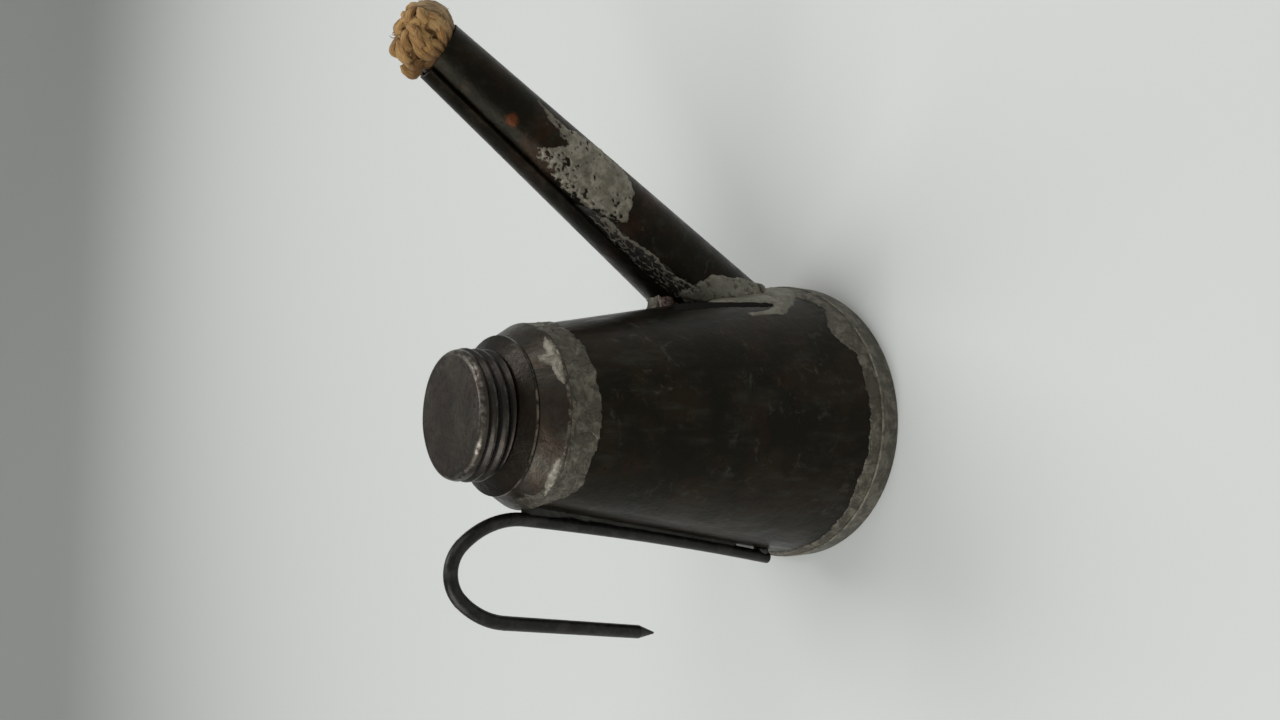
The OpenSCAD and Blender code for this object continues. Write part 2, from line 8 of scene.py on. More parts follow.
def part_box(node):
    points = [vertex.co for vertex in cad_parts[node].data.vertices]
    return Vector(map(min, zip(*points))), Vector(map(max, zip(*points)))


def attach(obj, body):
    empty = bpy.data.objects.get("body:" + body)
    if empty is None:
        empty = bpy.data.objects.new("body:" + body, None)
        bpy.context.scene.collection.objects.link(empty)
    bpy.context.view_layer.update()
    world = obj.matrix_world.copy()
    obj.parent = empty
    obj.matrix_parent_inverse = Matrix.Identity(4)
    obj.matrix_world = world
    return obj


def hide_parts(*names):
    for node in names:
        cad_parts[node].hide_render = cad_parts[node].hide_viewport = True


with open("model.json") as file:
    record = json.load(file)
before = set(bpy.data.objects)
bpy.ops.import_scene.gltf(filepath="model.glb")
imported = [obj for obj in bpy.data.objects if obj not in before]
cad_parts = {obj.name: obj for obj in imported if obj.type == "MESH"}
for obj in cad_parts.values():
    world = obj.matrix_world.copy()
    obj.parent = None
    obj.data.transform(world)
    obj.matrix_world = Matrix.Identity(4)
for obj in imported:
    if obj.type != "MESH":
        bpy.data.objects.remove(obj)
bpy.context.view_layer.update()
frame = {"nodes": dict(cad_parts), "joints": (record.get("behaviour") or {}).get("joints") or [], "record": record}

mm = 0.001
cadNodes = frame["nodes"]

# The script works in millimetres and degrees, measured from the middle of the lamp's base.
# Azimuth 0 is the spout's side, and the camera looks at the side of azimuth -98.

camera = {
    "place": (-15.79, -112.33, 125.07),
    "yaw": 12.63,               # from +Y towards +X
    "pitch": 38.55,             # below level
    "roll": 3.83,
    "focalPixels": 915.0,
    "imageWidth": 1280.0,
}

studio = {
    "floor": 4000.0,            # width of the floor sheet
    "sweepStart": 900.0,        # where the floor begins to rise behind the lamp
    "sweepRadius": 500.0,
    "sweepHeight": 1500.0,
    "floorColour": (0.57, 0.585, 0.57),
    "worldColour": (0.82, 0.825, 0.81),
    "worldStrength": 0.46,
    # name: place, point aimed at, width, height, watts
    "lamps": {
        "keyLight": ((-420, -80, 420), (0, 0, 40), 420, 420, 2.4),
        "rightLight": ((480, -160, 260), (20, 0, 40), 260, 420, 0.8),
        "backLight": ((280, 300, 560), (10, 0, 40), 420, 260, 1.8),
    },
}


def nodePoints(name):
    mesh = cadNodes[name].data
    points = np.empty(len(mesh.vertices) * 3)
    mesh.vertices.foreach_get("co", points)
    return points.reshape(-1, 3) / mm


def ringRadius(name, height, slack=0.02):
    points = nodePoints(name)
    near = points[np.abs(points[:, 2] - height) < slack]
    return float(np.hypot(near[:, 0], near[:, 1]).max())


# Sizes that the CAD frame gives
rimRadius = ringRadius("base_plate", 2.0, 2.0)
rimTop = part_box("base_plate")[1].z / mm
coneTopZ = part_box("font_body")[1].z / mm
coneTopRadius = ringRadius("font_body", coneTopZ)
bodyPoints = nodePoints("font_body")
footRadius = float(np.hypot(bodyPoints[:, 0], bodyPoints[:, 1]).max())
footRing = np.hypot(bodyPoints[:, 0], bodyPoints[:, 1]) > footRadius - 0.01
footZ = float(bodyPoints[footRing][:, 2].max())
coneSlope = (footRadius - coneTopRadius) / (coneTopZ - footZ)
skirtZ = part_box("shoulder")[0].z / mm
skirtRadius = ringRadius("shoulder", skirtZ)
collarPoints = nodePoints("neck_collar")
collarSpread = np.hypot(collarPoints[:, 0], collarPoints[:, 1])
collarRadius = float(collarSpread.max())
collarEdgeZ = float(collarPoints[collarSpread > collarRadius - 0.02][:, 2].mean())
capLow, capHigh = (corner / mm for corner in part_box("screw_cap"))
feedJoint = next(j for j in frame["joints"] if j["name"] == "wick_feed")
liftCoupling = frame["record"]["behaviour"]["couplings"][0]
threadPitch = liftCoupling["ratio"] * 2 * math.pi / mm

spoutAxis = Vector(feedJoint["axis"]).normalized()
spoutSide = Vector((spoutAxis.z, 0, -spoutAxis.x))      # points away from the cap
spoutAcross = Vector((0, 1, 0))
corePoints = nodePoints("wick_core")
coreHeights = corePoints @ np.array(spoutAxis)
spoutTip = Vector(corePoints[coreHeights > coreHeights.max() - 0.01].mean(axis=0))
coreLength = float(coreHeights.max() - coreHeights.min())

spout = {
    "length": 61.7,
    "rootRadius": 7.2,
    "tipRadius": 4.15,
    "tipCut": 8.0,
}
spoutTaper = (spout["rootRadius"] - spout["tipRadius"]) / spout["length"]
spoutRoot = spoutTip - spoutAxis * spout["length"]


# Making meshes

def addObject(name, vertices, faces, smooth=True):
    mesh = bpy.data.meshes.new(name)
    mesh.from_pydata([tuple(c * mm for c in v) for v in vertices], [], faces)
    mesh.validate()
    mesh.update()
    mesh.polygons.foreach_set("use_smooth", [smooth] * len(mesh.polygons))
    thing = bpy.data.objects.new(name, mesh)
    bpy.context.scene.collection.objects.link(thing)
    return thing


def finishPiece(piece, body, material, slot, *replaced):
    piece.data.materials.clear()
    piece.data.materials.append(material)
    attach(piece, body)
    if replaced:
        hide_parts(*replaced)
    return piece


def lumps(point, size, octaves=3, seed=0.0):
    return noise.fractal(Vector(point) / size + Vector((seed, seed * 0.7, 0)), 1.0, 2.0, octaves)


def smoothStep(value, low, high):
    t = min(1.0, max(0.0, (value - low) / (high - low)))
    return t * t * (3 - 2 * t)


def polar(radius, azimuth, height):
    a = math.radians(azimuth)
    return (radius * math.cos(a), radius * math.sin(a), height)


# Places on the lamp's surfaces: two surface coordinates and a distance off the surface

def onCone(azimuth, height, off):
    radius = footRadius - coneSlope * (height - footZ) + off
    return polar(radius, azimuth, height + off * coneSlope)


shoulderSide = {
    "straight": 0.2,
    "round": 0.5,
    "slope": 57.0,              # rise of the slope above level
}


def onShoulder(azimuth, along, off):
    # Up the straight side, round the edge and up the slope to the collar
    look = shoulderSide
    turned = min(max(0.0, (along - look["straight"]) / look["round"]), math.radians(90 - look["slope"]))
    beyond = max(0.0, along - look["straight"] - look["round"] * turned)
    radius = skirtRadius - look["round"] * (1 - math.cos(turned)) - beyond * math.sin(turned)
    height = skirtZ + min(along, look["straight"]) + look["round"] * math.sin(turned) + beyond * math.cos(turned)
    return polar(radius + off * math.cos(turned), azimuth, height + off * math.sin(turned))


def onSpout(direction, along, off):
    # direction 0 faces the cap and 90 the camera's side
    a = math.radians(direction)
    radius = spout["rootRadius"] - spoutTaper * along + off
    outward = -math.cos(a) * spoutSide - math.sin(a) * spoutAcross
    return tuple(spoutRoot + spoutAxis * along + outward * radius)


def insideDistance(x, y, outline):
    # Distance to the nearest edge of a closed outline, positive inside it
    nearest = 1e9
    inside = False
    for (ax, ay), (bx, by) in zip(outline, outline[1:] + outline[:1]):
        ex, ey = bx - ax, by - ay
        t = max(0.0, min(1.0, ((x - ax) * ex + (y - ay) * ey) / (ex * ex + ey * ey)))
        nearest = min(nearest, math.hypot(x - ax - t * ex, y - ay - t * ey))
        if (ay > y) != (by > y) and x < ax + (y - ay) / (by - ay) * ex:
            inside = not inside
    return nearest if inside else -nearest


def skin(name, surface, across, along, thickness, closed=False, sink=0.12):
    # A closed layer of solder that lies on a surface and runs out under it where its thickness ends
    columns, rows = len(across), len(along)
    depth = [[thickness(u, v, surface(u, v, 0)) for v in along] for u in across]
    vertices, faces, cover, index = [], [], [], {}

    def corner(i, j, top):
        key = (i % columns, j, top)
        if key not in index:
            off = max(depth[key[0]][j], -sink * 0.8) if top else -sink
            index[key] = len(vertices)
            vertices.append(surface(across[key[0]], along[j], off))
            cover.append(max(0.0, off))
        return index[key]

    def kept(i, j):
        if j < 0 or j >= rows - 1 or not closed and (i < 0 or i >= columns - 1):
            return False
        return max(depth[(i + a) % columns][j + b] for a in (0, 1) for b in (0, 1)) > 0

    for i in range(columns if closed else columns - 1):
        for j in range(rows - 1):
            if not kept(i, j):
                continue
            ring = [(i, j), (i + 1, j), (i + 1, j + 1), (i, j + 1)]
            faces.append([corner(a, b, True) for a, b in ring])
            faces.append([corner(a, b, False) for a, b in reversed(ring)])
            beside = [(i, j - 1), (i + 1, j), (i, j + 1), (i - 1, j)]
            for k, (ni, nj) in enumerate(beside):
                if not kept(ni % columns if closed else ni, nj):
                    first, second = ring[k], ring[(k + 1) % 4]
                    faces.append([corner(*second, True), corner(*first, True),
                                  corner(*first, False), corner(*second, False)])
    piece = addObject(name, vertices, faces)
    marks = piece.data.attributes.new("cover", "FLOAT", "POINT")
    marks.data.foreach_set("value", cover)
    return piece


def throughPoints(points, azimuth):
    # Value at an azimuth of a curve through (azimuth, value) points all round the lamp
    azimuths = [p[0] for p in points]
    values = [p[1] for p in points]
    wrapped = (azimuth + 180) % 360 - 180
    return float(np.interp(wrapped, azimuths, values, period=360))


# Materials

def newMaterial(name, colour=None, metallic=0.0, roughness=0.5):
    material = bpy.data.materials.new(name)
    material.use_nodes = True
    shader = material.node_tree.nodes["Principled BSDF"]
    shader.inputs["Metallic"].default_value = metallic
    shader.inputs["Roughness"].default_value = roughness
    if colour:
        shader.inputs["Base Color"].default_value = (*colour, 1)
    return material, material.node_tree, shader


def setInput(tree, socket, value):
    if isinstance(value, bpy.types.NodeSocket):
        tree.links.new(value, socket)
    elif isinstance(value, tuple) and len(value) == 3 and socket.type == "RGBA":
        socket.default_value = (*value, 1)
    else:
        socket.default_value = value


def inMillimetres(tree, stretch=(1, 1, 1)):
    place = tree.nodes.new("ShaderNodeTexCoord")
    scale = tree.nodes.new("ShaderNodeMapping")
    scale.inputs["Scale"].default_value = [s / mm for s in stretch]
    tree.links.new(place.outputs["Object"], scale.inputs["Vector"])
    return scale.outputs["Vector"]


def grain(tree, size, detail=4.0, rough=0.55, stretch=(1, 1, 1), distortion=0.0):
    # Noise between 0 and 1 whose features are about `size` mm across
    texture = tree.nodes.new("ShaderNodeTexNoise")
    tree.links.new(inMillimetres(tree, stretch), texture.inputs["Vector"])
    texture.inputs["Scale"].default_value = 1 / size
    texture.inputs["Detail"].default_value = detail
    texture.inputs["Roughness"].default_value = rough
    texture.inputs["Distortion"].default_value = distortion
    return texture.outputs["Fac"]


def between(tree, value, low, high, start=0.0, end=1.0):
    # Turns the part of `value` from low to high into a soft step from start to end
    step = tree.nodes.new("ShaderNodeMapRange")
    step.interpolation_type = "SMOOTHSTEP"
    setInput(tree, step.inputs["Value"], value)
    for key, number in zip(("From Min", "From Max", "To Min", "To Max"), (low, high, start, end)):
        step.inputs[key].default_value = number
    return step.outputs["Result"]


def sums(tree, operation, first, second):
    node = tree.nodes.new("ShaderNodeMath")
    node.operation = operation
    setInput(tree, node.inputs[0], first)
    setInput(tree, node.inputs[1], second)
    return node.outputs[0]


def mixed(tree, factor, first, second):
    node = tree.nodes.new("ShaderNodeMix")
    node.data_type = "RGBA"
    setInput(tree, node.inputs["Factor"], factor)
    setInput(tree, node.inputs["A"], first)
    setInput(tree, node.inputs["B"], second)
    return node.outputs["Result"]


def ringDistance(tree, radius, height):
    # Distance in mm from a ring round the lamp's axis
    split = tree.nodes.new("ShaderNodeSeparateXYZ")
    tree.links.new(inMillimetres(tree), split.inputs[0])
    squares = [sums(tree, "POWER", split.outputs[axis], 2.0) for axis in "XY"]
    across = sums(tree, "SUBTRACT", sums(tree, "SQRT", sums(tree, "ADD", *squares), 0.0), radius)
    above = sums(tree, "SUBTRACT", split.outputs["Z"], height)
    total = sums(tree, "ADD", sums(tree, "POWER", across, 2.0), sums(tree, "POWER", above, 2.0))
    return sums(tree, "SQRT", total, 0.0)


def meshValue(tree, name):
    # A value that the mesh carries as an attribute: solder cover, wear with painted highlight, painted shade, or yarn
    # tint
    attribute = tree.nodes.new("ShaderNodeAttribute")
    attribute.attribute_name = name
    return attribute.outputs["Fac"]


def relief(tree, shader, height, distance):
    # Bump of a height between 0 and 1; distance is its depth in mm
    bump = tree.nodes.new("ShaderNodeBump")
    bump.inputs["Strength"].default_value = 1.0
    bump.inputs["Distance"].default_value = distance * mm
    tree.links.new(height, bump.inputs["Height"])
    tree.links.new(bump.outputs["Normal"], shader.inputs["Normal"])


tinLook = {
    "dark": (0.0088, 0.0080, 0.0050),
    "brown": (0.0165, 0.0115, 0.0066),
    "grey": (0.030, 0.031, 0.024),
    "rust": (0.034, 0.013, 0.007),
    "orange": (0.085, 0.026, 0.010),
    "pale": (0.080, 0.077, 0.064),
    "pit": (0.002, 0.0018, 0.0013),
    "metallic": 0.65,
    "specular": 0.12,
}


def darkTin(name, rustiness=0.35, greyness=0.5, streaked=0.16, spots=()):
    # Old tinned sheet: brown-black patina with streaks, grey bloom, small pale marks and pits
    look = tinLook
    material, tree, shader = newMaterial(name, None, look["metallic"], 0.4)
    shader.inputs["Specular IOR Level"].default_value = look["specular"]
    clouds = grain(tree, 9.0, 5.0, 0.6)
    streaks = grain(tree, 2.0, 6.0, 0.65, (1, 1, streaked))
    fine = grain(tree, 0.7, 4.0, 0.7)
    colour = mixed(tree, between(tree, clouds, 0.40, 0.64), look["dark"], look["brown"])
    bloom = sums(tree, "MULTIPLY", between(tree, streaks, 0.46, 0.70), between(tree, clouds, 0.34, 0.60))
    colour = mixed(tree, sums(tree, "MULTIPLY", bloom, greyness), colour, look["grey"])
    rust = between(tree, grain(tree, 6.5, 6.0, 0.6, distortion=0.4), 0.54, 0.70)
    colour = mixed(tree, sums(tree, "MULTIPLY", rust, rustiness), colour, look["rust"])
    marks = between(tree, grain(tree, 3.4, 8.0, 0.78, distortion=0.8), 0.54, 0.68)
    marks = sums(tree, "MULTIPLY", marks, between(tree, grain(tree, 13.0, 3.0, 0.5), 0.44, 0.60, 0.08, 0.45))
    colour = mixed(tree, marks, colour, look["pale"])
    for place, radius in spots:
        gone = tree.nodes.new("ShaderNodeVectorMath")
        gone.operation = "DISTANCE"
        tree.links.new(inMillimetres(tree), gone.inputs[0])
        gone.inputs[1].default_value = place
        ragged = sums(tree, "ADD", gone.outputs["Value"], sums(tree, "MULTIPLY", grain(tree, 1.2, 5.0, 0.7), radius))
        colour = mixed(tree, between(tree, ragged, radius * 0.8, radius * 1.5, 0.9, 0.0), colour, look["orange"])
    pits = between(tree, grain(tree, 0.42, 2.0, 0.5), 0.70, 0.76)
    pits = sums(tree, "MULTIPLY", pits, between(tree, grain(tree, 7.0, 3.0, 0.5), 0.50, 0.60))
    colour = mixed(tree, pits, colour, look["pit"])
    setInput(tree, shader.inputs["Base Color"], colour)
    setInput(tree, shader.inputs["Roughness"], between(tree, streaks, 0.3, 0.72, 0.27, 0.50))
    uneven = sums(tree, "ADD", clouds, sums(tree, "MULTIPLY", fine, 0.10))
    uneven = sums(tree, "ADD", uneven, sums(tree, "MULTIPLY", pits, -0.25))
    relief(tree, shader, uneven, 0.30)
    return material


solderLooks = {
    # dull colour, bright colour, colour of dirt and of painted shade in fold creases, share of the bright colour,
    # share of dirt
    "dull": ((0.050, 0.045, 0.030), (0.165, 0.150, 0.112), (0.017, 0.014, 0.009), 0.60, 0.60),
    "pale": ((0.150, 0.136, 0.104), (0.310, 0.285, 0.230), (0.035, 0.028, 0.018), 0.85, 0.45),
    "bright": ((0.120, 0.108, 0.080), (0.235, 0.212, 0.165), (0.024, 0.019, 0.012), 0.85, 0.55),
    "net": ((0.110, 0.100, 0.076), (0.190, 0.175, 0.138), (0.018, 0.015, 0.010), 0.6, 0.40),
    "sheet": ((0.120, 0.112, 0.082), (0.185, 0.176, 0.138), (0.030, 0.025, 0.016), 0.7, 0.35),
    "black": ((0.014, 0.013, 0.010), (0.050, 0.046, 0.037), (0.005, 0.004, 0.003), 0.35, 0.70),
}


def oldSolder(name, look, edged=False, foldShare=0.0, highlightRims=()):
    # Dull tin-lead solder with pits and dirt, darker where its mesh says that it thins out, with painted shade along
    # its fold creases and painted highlights along the given rims
    dull, bright, dirtAndShade, brightShare, dirtShare = solderLooks[look]
    material, tree, shader = newMaterial(name, None, 0.3, 0.5)
    shader.inputs["Specular IOR Level"].default_value = 0.4
    clouds = grain(tree, 2.2, 6.0, 0.65, distortion=0.3)
    pits = grain(tree, 0.45, 5.0, 0.7)
    flows = grain(tree, 3.8, 2.0, 0.5, distortion=0.6)
    colour = mixed(tree, sums(tree, "MULTIPLY", between(tree, clouds, 0.43, 0.63), brightShare), dull, bright)
    # Painted shade: the dirt colour laid along fold creases, which the bump also sinks
    folds = between(tree, sums(tree, "ABSOLUTE", sums(tree, "SUBTRACT", flows, 0.5), 0.0), 0.0, 0.05, foldShare, 0.0)
    stain = sums(tree, "MAXIMUM", between(tree, grain(tree, 1.5, 7.0, 0.72), 0.54, 0.68),
                 between(tree, pits, 0.60, 0.67))
    if edged:
        thin = between(tree, sums(tree, "ADD", meshValue(tree, "cover"), sums(tree, "MULTIPLY", pits, 0.10)),
                       0.08, 0.17, 1.0, 0.0)
        stain = sums(tree, "MAXIMUM", stain, thin)
    colour = mixed(tree, sums(tree, "MAXIMUM", sums(tree, "MULTIPLY", stain, dirtShare), folds), colour, dirtAndShade)
    # Painted highlight: a bright line along each ring, broken up by noise
    for radius, height, width in highlightRims:
        near = between(tree, ringDistance(tree, radius, height), width * 0.3, width, 1.0, 0.0)
        brokenHighlight = between(tree, grain(tree, 1.6, 5.0, 0.7), 0.42, 0.62, 0.05, 0.8)
        colour = mixed(tree, sums(tree, "MULTIPLY", near, brokenHighlight), colour, (0.19, 0.175, 0.135))
    setInput(tree, shader.inputs["Base Color"], colour)
    setInput(tree, shader.inputs["Roughness"], between(tree, pits, 0.3, 0.7, 0.34, 0.60))
    uneven = sums(tree, "ADD", sums(tree, "ADD", clouds, sums(tree, "MULTIPLY", pits, 0.22)),
                  sums(tree, "MULTIPLY", folds, -0.8))
    relief(tree, shader, uneven, 0.26)
    return material


def brownBrass(name, base, edge, roughness=0.34, stain=None, rings=(), uneven=0.22):
    # Spun sheet with a brown patina, bright where its mesh says so and along rings of (radius, height, width): partly
    # real wear, partly painted highlight; painted shade in the grooves that its mesh marks
    material, tree, shader = newMaterial(name, None, 0.75, roughness)
    clouds = grain(tree, 4.2, 5.0, 0.6, distortion=0.5)
    fine = grain(tree, 0.6, 4.0, 0.7)
    darker = tuple(c * 0.55 for c in base)
    colour = mixed(tree, between(tree, clouds, 0.36, 0.66), darker, base)
    if stain:
        patches = between(tree, grain(tree, 6.0, 6.0, 0.65, distortion=0.6), 0.47, 0.60)
        colour = mixed(tree, sums(tree, "MULTIPLY", patches, 0.7), colour, stain)
    wearAndGlint = meshValue(tree, "wearAndGlint")
    for radius, height, width in rings:
        near = between(tree, ringDistance(tree, radius, height), width * 0.3, width, 1.0, 0.0)
        wearAndGlint = sums(tree, "MAXIMUM", wearAndGlint, near)
    rubAndGlint = sums(tree, "MULTIPLY", wearAndGlint, between(tree, grain(tree, 1.8, 6.0, 0.7), 0.45, 0.62))
    # Painted highlight, partly real wear: the edge colour on the cap's thread crests and rim and along the rings
    colour = mixed(tree, rubAndGlint, colour, edge)
    # Painted shade in the thread's grooves, and lighter over all the threaded side
    colour = mixed(tree, meshValue(tree, "grooveShade"), colour, tuple(c * 0.12 for c in base))
    setInput(tree, shader.inputs["Base Color"], colour)
    setInput(tree, shader.inputs["Roughness"], between(tree, fine, 0.3, 0.75, roughness - 0.08, roughness + 0.14))
    relief(tree, shader, sums(tree, "ADD", clouds, sums(tree, "MULTIPLY", fine, 0.07)), uneven)
    return material


def blackWire(name):
    material, tree, shader = newMaterial(name, None, 0.6, 0.4)
    patches = grain(tree, 1.8, 5.0, 0.65)
    colour = mixed(tree, between(tree, patches, 0.42, 0.72), (0.011, 0.0105, 0.010), (0.038, 0.035, 0.032))
    setInput(tree, shader.inputs["Base Color"], colour)
    setInput(tree, shader.inputs["Roughness"], between(tree, patches, 0.3, 0.7, 0.30, 0.52))
    relief(tree, shader, grain(tree, 0.5, 4.0, 0.7), 0.05)
    return material


def cottonYarn(name):
    # Loose tan cotton with fibres along each strand; the mesh carries the strand's own coordinates
    material, tree, shader = newMaterial(name, None, 0.0, 0.92)
    strand = tree.nodes.new("ShaderNodeUVMap")
    strand.uv_map = "strand"
    scale = tree.nodes.new("ShaderNodeMapping")
    scale.inputs["Scale"].default_value = (26.0, 0.9, 1.0)
    tree.links.new(strand.outputs["UV"], scale.inputs["Vector"])
    fibres = tree.nodes.new("ShaderNodeTexNoise")
    fibres.inputs["Scale"].default_value = 1.0
    fibres.inputs["Detail"].default_value = 5.0
    tree.links.new(scale.outputs["Vector"], fibres.inputs["Vector"])
    clouds = grain(tree, 2.6, 4.0, 0.6)
    colour = mixed(tree, between(tree, fibres.outputs["Fac"], 0.3, 0.7), (0.15, 0.066, 0.016), (0.38, 0.215, 0.070))
    colour = mixed(tree, between(tree, clouds, 0.50, 0.70, 0.0, 0.6), colour, (0.13, 0.058, 0.015))
    grey = mixed(tree, between(tree, fibres.outputs["Fac"], 0.3, 0.7), (0.14, 0.090, 0.044), (0.32, 0.235, 0.135))
    colour = mixed(tree, meshValue(tree, "tint"), colour, (0.46, 0.285, 0.100))
    colour = mixed(tree, meshValue(tree, "grey"), colour, grey)
    # Painted shade deep between the loops, and darker where they leave the spout
    colour = mixed(tree, meshValue(tree, "hollowShade"), colour, (0.085, 0.030, 0.007))
    setInput(tree, shader.inputs["Base Color"], colour)
    shader.inputs["Sheen Weight"].default_value = 0.05
    shader.inputs["Sheen Roughness"].default_value = 0.5
    relief(tree, shader, fibres.outputs["Fac"], 0.24)
    return material


def plainCork(name):
    material, tree, shader = newMaterial(name, None, 0.0, 0.85)
    cells = grain(tree, 0.5, 5.0, 0.7)
    setInput(tree, shader.inputs["Base Color"],
             mixed(tree, between(tree, cells, 0.4, 0.62), (0.16, 0.085, 0.035), (0.42, 0.27, 0.14)))
    relief(tree, shader, cells, 0.12)
    return material


# Camera, floor and lights

def makeCamera():
    yaw, pitch, roll = (math.radians(camera[key]) for key in ("yaw", "pitch", "roll"))
    forward = Vector((math.sin(yaw) * math.cos(pitch), math.cos(yaw) * math.cos(pitch), -math.sin(pitch)))
    level = Vector((math.cos(yaw), -math.sin(yaw), 0))
    above = level.cross(forward)
    right = level * math.cos(roll) + above * math.sin(roll)
    up = above * math.cos(roll) - level * math.sin(roll)
    # The photo lies on its side, so its right is down and its top is the spout's side
    turned = Matrix((-up, right, -forward)).transposed()
    data = bpy.data.cameras.new("camera")
    data.sensor_fit = "HORIZONTAL"
    data.sensor_width = 36.0
    data.lens = data.sensor_width * camera["focalPixels"] / camera["imageWidth"]
    data.clip_start = 0.005
    data.clip_end = 20.0
    thing = bpy.data.objects.new("camera", data)
    thing.matrix_world = Matrix.Translation(Vector(camera["place"]) * mm) @ turned.to_4x4()
    bpy.context.scene.collection.objects.link(thing)
    bpy.context.scene.camera = thing


def makeStudio():
    width, radius = studio["floor"] / 2, studio["sweepRadius"]
    profile = [(-width, 0.0), (studio["sweepStart"], 0.0)]
    for i in range(1, 13):
        a = math.radians(90 * i / 12)
        profile.append((studio["sweepStart"] + radius * math.sin(a), radius * (1 - math.cos(a))))
    profile.append((profile[-1][0], studio["sweepHeight"]))
    vertices = [(side * width, y, z) for y, z in profile for side in (-1, 1)]
    faces = [(2 * i, 2 * i + 1, 2 * i + 3, 2 * i + 2) for i in range(len(profile) - 1)]
    sheet = addObject("floorSheet", vertices, faces)
    material, tree, shader = newMaterial("paleFloor", studio["floorColour"], 0.0, 0.6)
    sheet.data.materials.append(material)

    world = bpy.data.worlds.new("softLight")
    world.use_nodes = True
    sky = world.node_tree.nodes["Background"]
    sky.inputs["Color"].default_value = (*studio["worldColour"], 1)
    sky.inputs["Strength"].default_value = studio["worldStrength"]
    bpy.context.scene.world = world

    for name, (place, target, lampWidth, lampHeight, watts) in studio["lamps"].items():
        light = bpy.data.lights.new(name, "AREA")
        light.shape = "RECTANGLE"
        light.size = lampWidth * mm
        light.size_y = lampHeight * mm
        light.energy = watts
        lamp = bpy.data.objects.new(name, light)
        aim = Vector(target) - Vector(place)
        lamp.matrix_world = Matrix.Translation(Vector(place) * mm) @ aim.to_track_quat("-Z", "Y").to_matrix().to_4x4()
        bpy.context.scene.collection.objects.link(lamp)
    bpy.context.scene.view_settings.view_transform = "Standard"


makeCamera()
makeStudio()
print("camera and studio are set")


# Solder bands, lapped over the joints

baseSolder = {
    "low": 3.72,
    "thick": 0.34,
    "ragged": 0.45,
    "edge": [(-175, 5.4), (-152, 5.3), (-136, 5.7), (-124, 6.2), (-112, 5.7), (-98, 5.9), (-85, 6.0), (-70, 5.8),
             (-64, 7.6), (-59, 8.6), (-53, 8.1), (-43, 5.6), (-31, 6.9), (0, 7.5), (30, 6.2), (60, 5.8),
             (100, 5.4), (140, 6.1)],
}

shoulderSolder = {
    "ragged": 0.3,
    "edge": [(-176, 54.9), (-166, 55.1), (-156, 53.8), (-146, 52.5), (-123, 52.3), (-98, 51.8), (-86, 51.9),
             (-61, 52.2), (-34, 52.5), (-14, 52.4), (20, 52.7), (60, 52.0), (100, 52.5), (140, 52.2), (170, 54.4)],
    "atSkirt": 0.5,             # thickness under the shoulder's skirt
    "spoutSide": 0.28,          # the same on the spout's side
    "lower": 0.2,
}

# Bright patches on the shoulder: outlines of (azimuth, distance up from the skirt's edge)
shoulderPatches = [
    [(-80, 0.8), (-72, 1.9), (-65, 1.9), (-59, 3.4), (-53, 3.1), (-56, 1.9), (-48, 1.9), (-42, 0.9), (-47, 0.5),
     (-67, 0.4)],
    [(-153, 1.1), (-142, 1.6), (-135, 2.0), (-129, 1.7), (-122, 1.2), (-123, 0.6), (-133, 0.2), (-153, 0.1)],
]
shoulderSmear = [(-178, 0.1), (-179, 2.2), (-168, 2.9), (-160, 2.6), (-157, 1.8), (-150, 1.5), (-138, 0.9),
                 (-118, 0.5), (-118, 0.05)]


def flowDepth(look, reach, ragged, edge, seed):
    # Thickness of a smooth flow of solder; reach is the radius that turns degrees into lengths
    scale = math.radians(1) * reach
    outline = [(a * scale, b) for a, b in look["outline"]]

    def depth(across, along, point):
        inside = insideDistance(across * scale, along, outline) + ragged * lumps(point, 1.3, 4, seed)
        if "cracks" in look and lumps(point, 2.5, 2, seed + 5) > 0.12:
            inside = min(inside, (abs(lumps(point, 1.6, 3, seed + 9)) - look["cracks"]) * 2)
        if inside < 0:
            return max(-0.12, inside * 0.8)
        return 0.02 + look["thick"] * smoothStep(inside, 0.0, edge) * (1 + 0.25 * lumps(point, 1.6, 3, seed + 2))
    return depth


def bandEdge(look, azimuth, point):
    return throughPoints(look["edge"], azimuth) + look["ragged"] * lumps(point, 1.6, 4, 3.0)


def baseSolderDepth(azimuth, height, point):
    left = bandEdge(baseSolder, azimuth, point) - height
    if left < 0:
        return max(-0.12, left * 0.6)
    body = baseSolder["thick"] * (0.35 + 0.65 * smoothStep(left, 0.0, 1.3))
    return body + 0.07 * lumps(point, 1.1, 3) + 0.03


def shoulderSolderDepth(azimuth, height, point):
    left = height - bandEdge(shoulderSolder, azimuth, point)
    if left < 0:
        return max(-0.12, left * 0.6)
    nearSkirt = smoothStep(height, skirtZ - 1.0, skirtZ)
    body = shoulderSolder["lower"] * (0.5 + 0.5 * smoothStep(left, 0.0, 0.6))
    atSkirt = throughPoints([(-60, shoulderSolder["atSkirt"]), (-15, shoulderSolder["spoutSide"]),
                             (15, shoulderSolder["spoutSide"]), (60, shoulderSolder["atSkirt"])], azimuth)
    body += (atSkirt - body) * nearSkirt
    folds = 0.16 * lumps(point, 1.9, 4, 8.0) + 0.16 * abs(lumps(point, 2.6, 2, 21.0)) + 0.05
    crease = 1 - smoothStep(abs(lumps((point[0], point[1], point[2] * 1.5), 2.2, 3, 31.0)), 0.0, 0.10)
    return max(0.04, body + folds * (1 - 0.5 * nearSkirt) - 0.16 * crease)


def shoulderPatchDepth(azimuth, along, point):
    arc = math.radians(1) * (skirtRadius - 1.0)
    depth = max(insideDistance(azimuth * arc, along, [(a * arc, b) for a, b in outline])
                for outline in shoulderPatches)
    depth += 0.22 * lumps(point, 0.7, 4, 5.0)
    if azimuth < -110:
        depth -= 0.5 * abs(lumps(point, 0.9, 4, 9.0)) + 0.05
    if depth < 0:
        return max(-0.12, depth)
    return 0.03 + 0.10 * smoothStep(depth, 0.0, 0.5) + 0.03 * lumps(point, 0.5, 3)


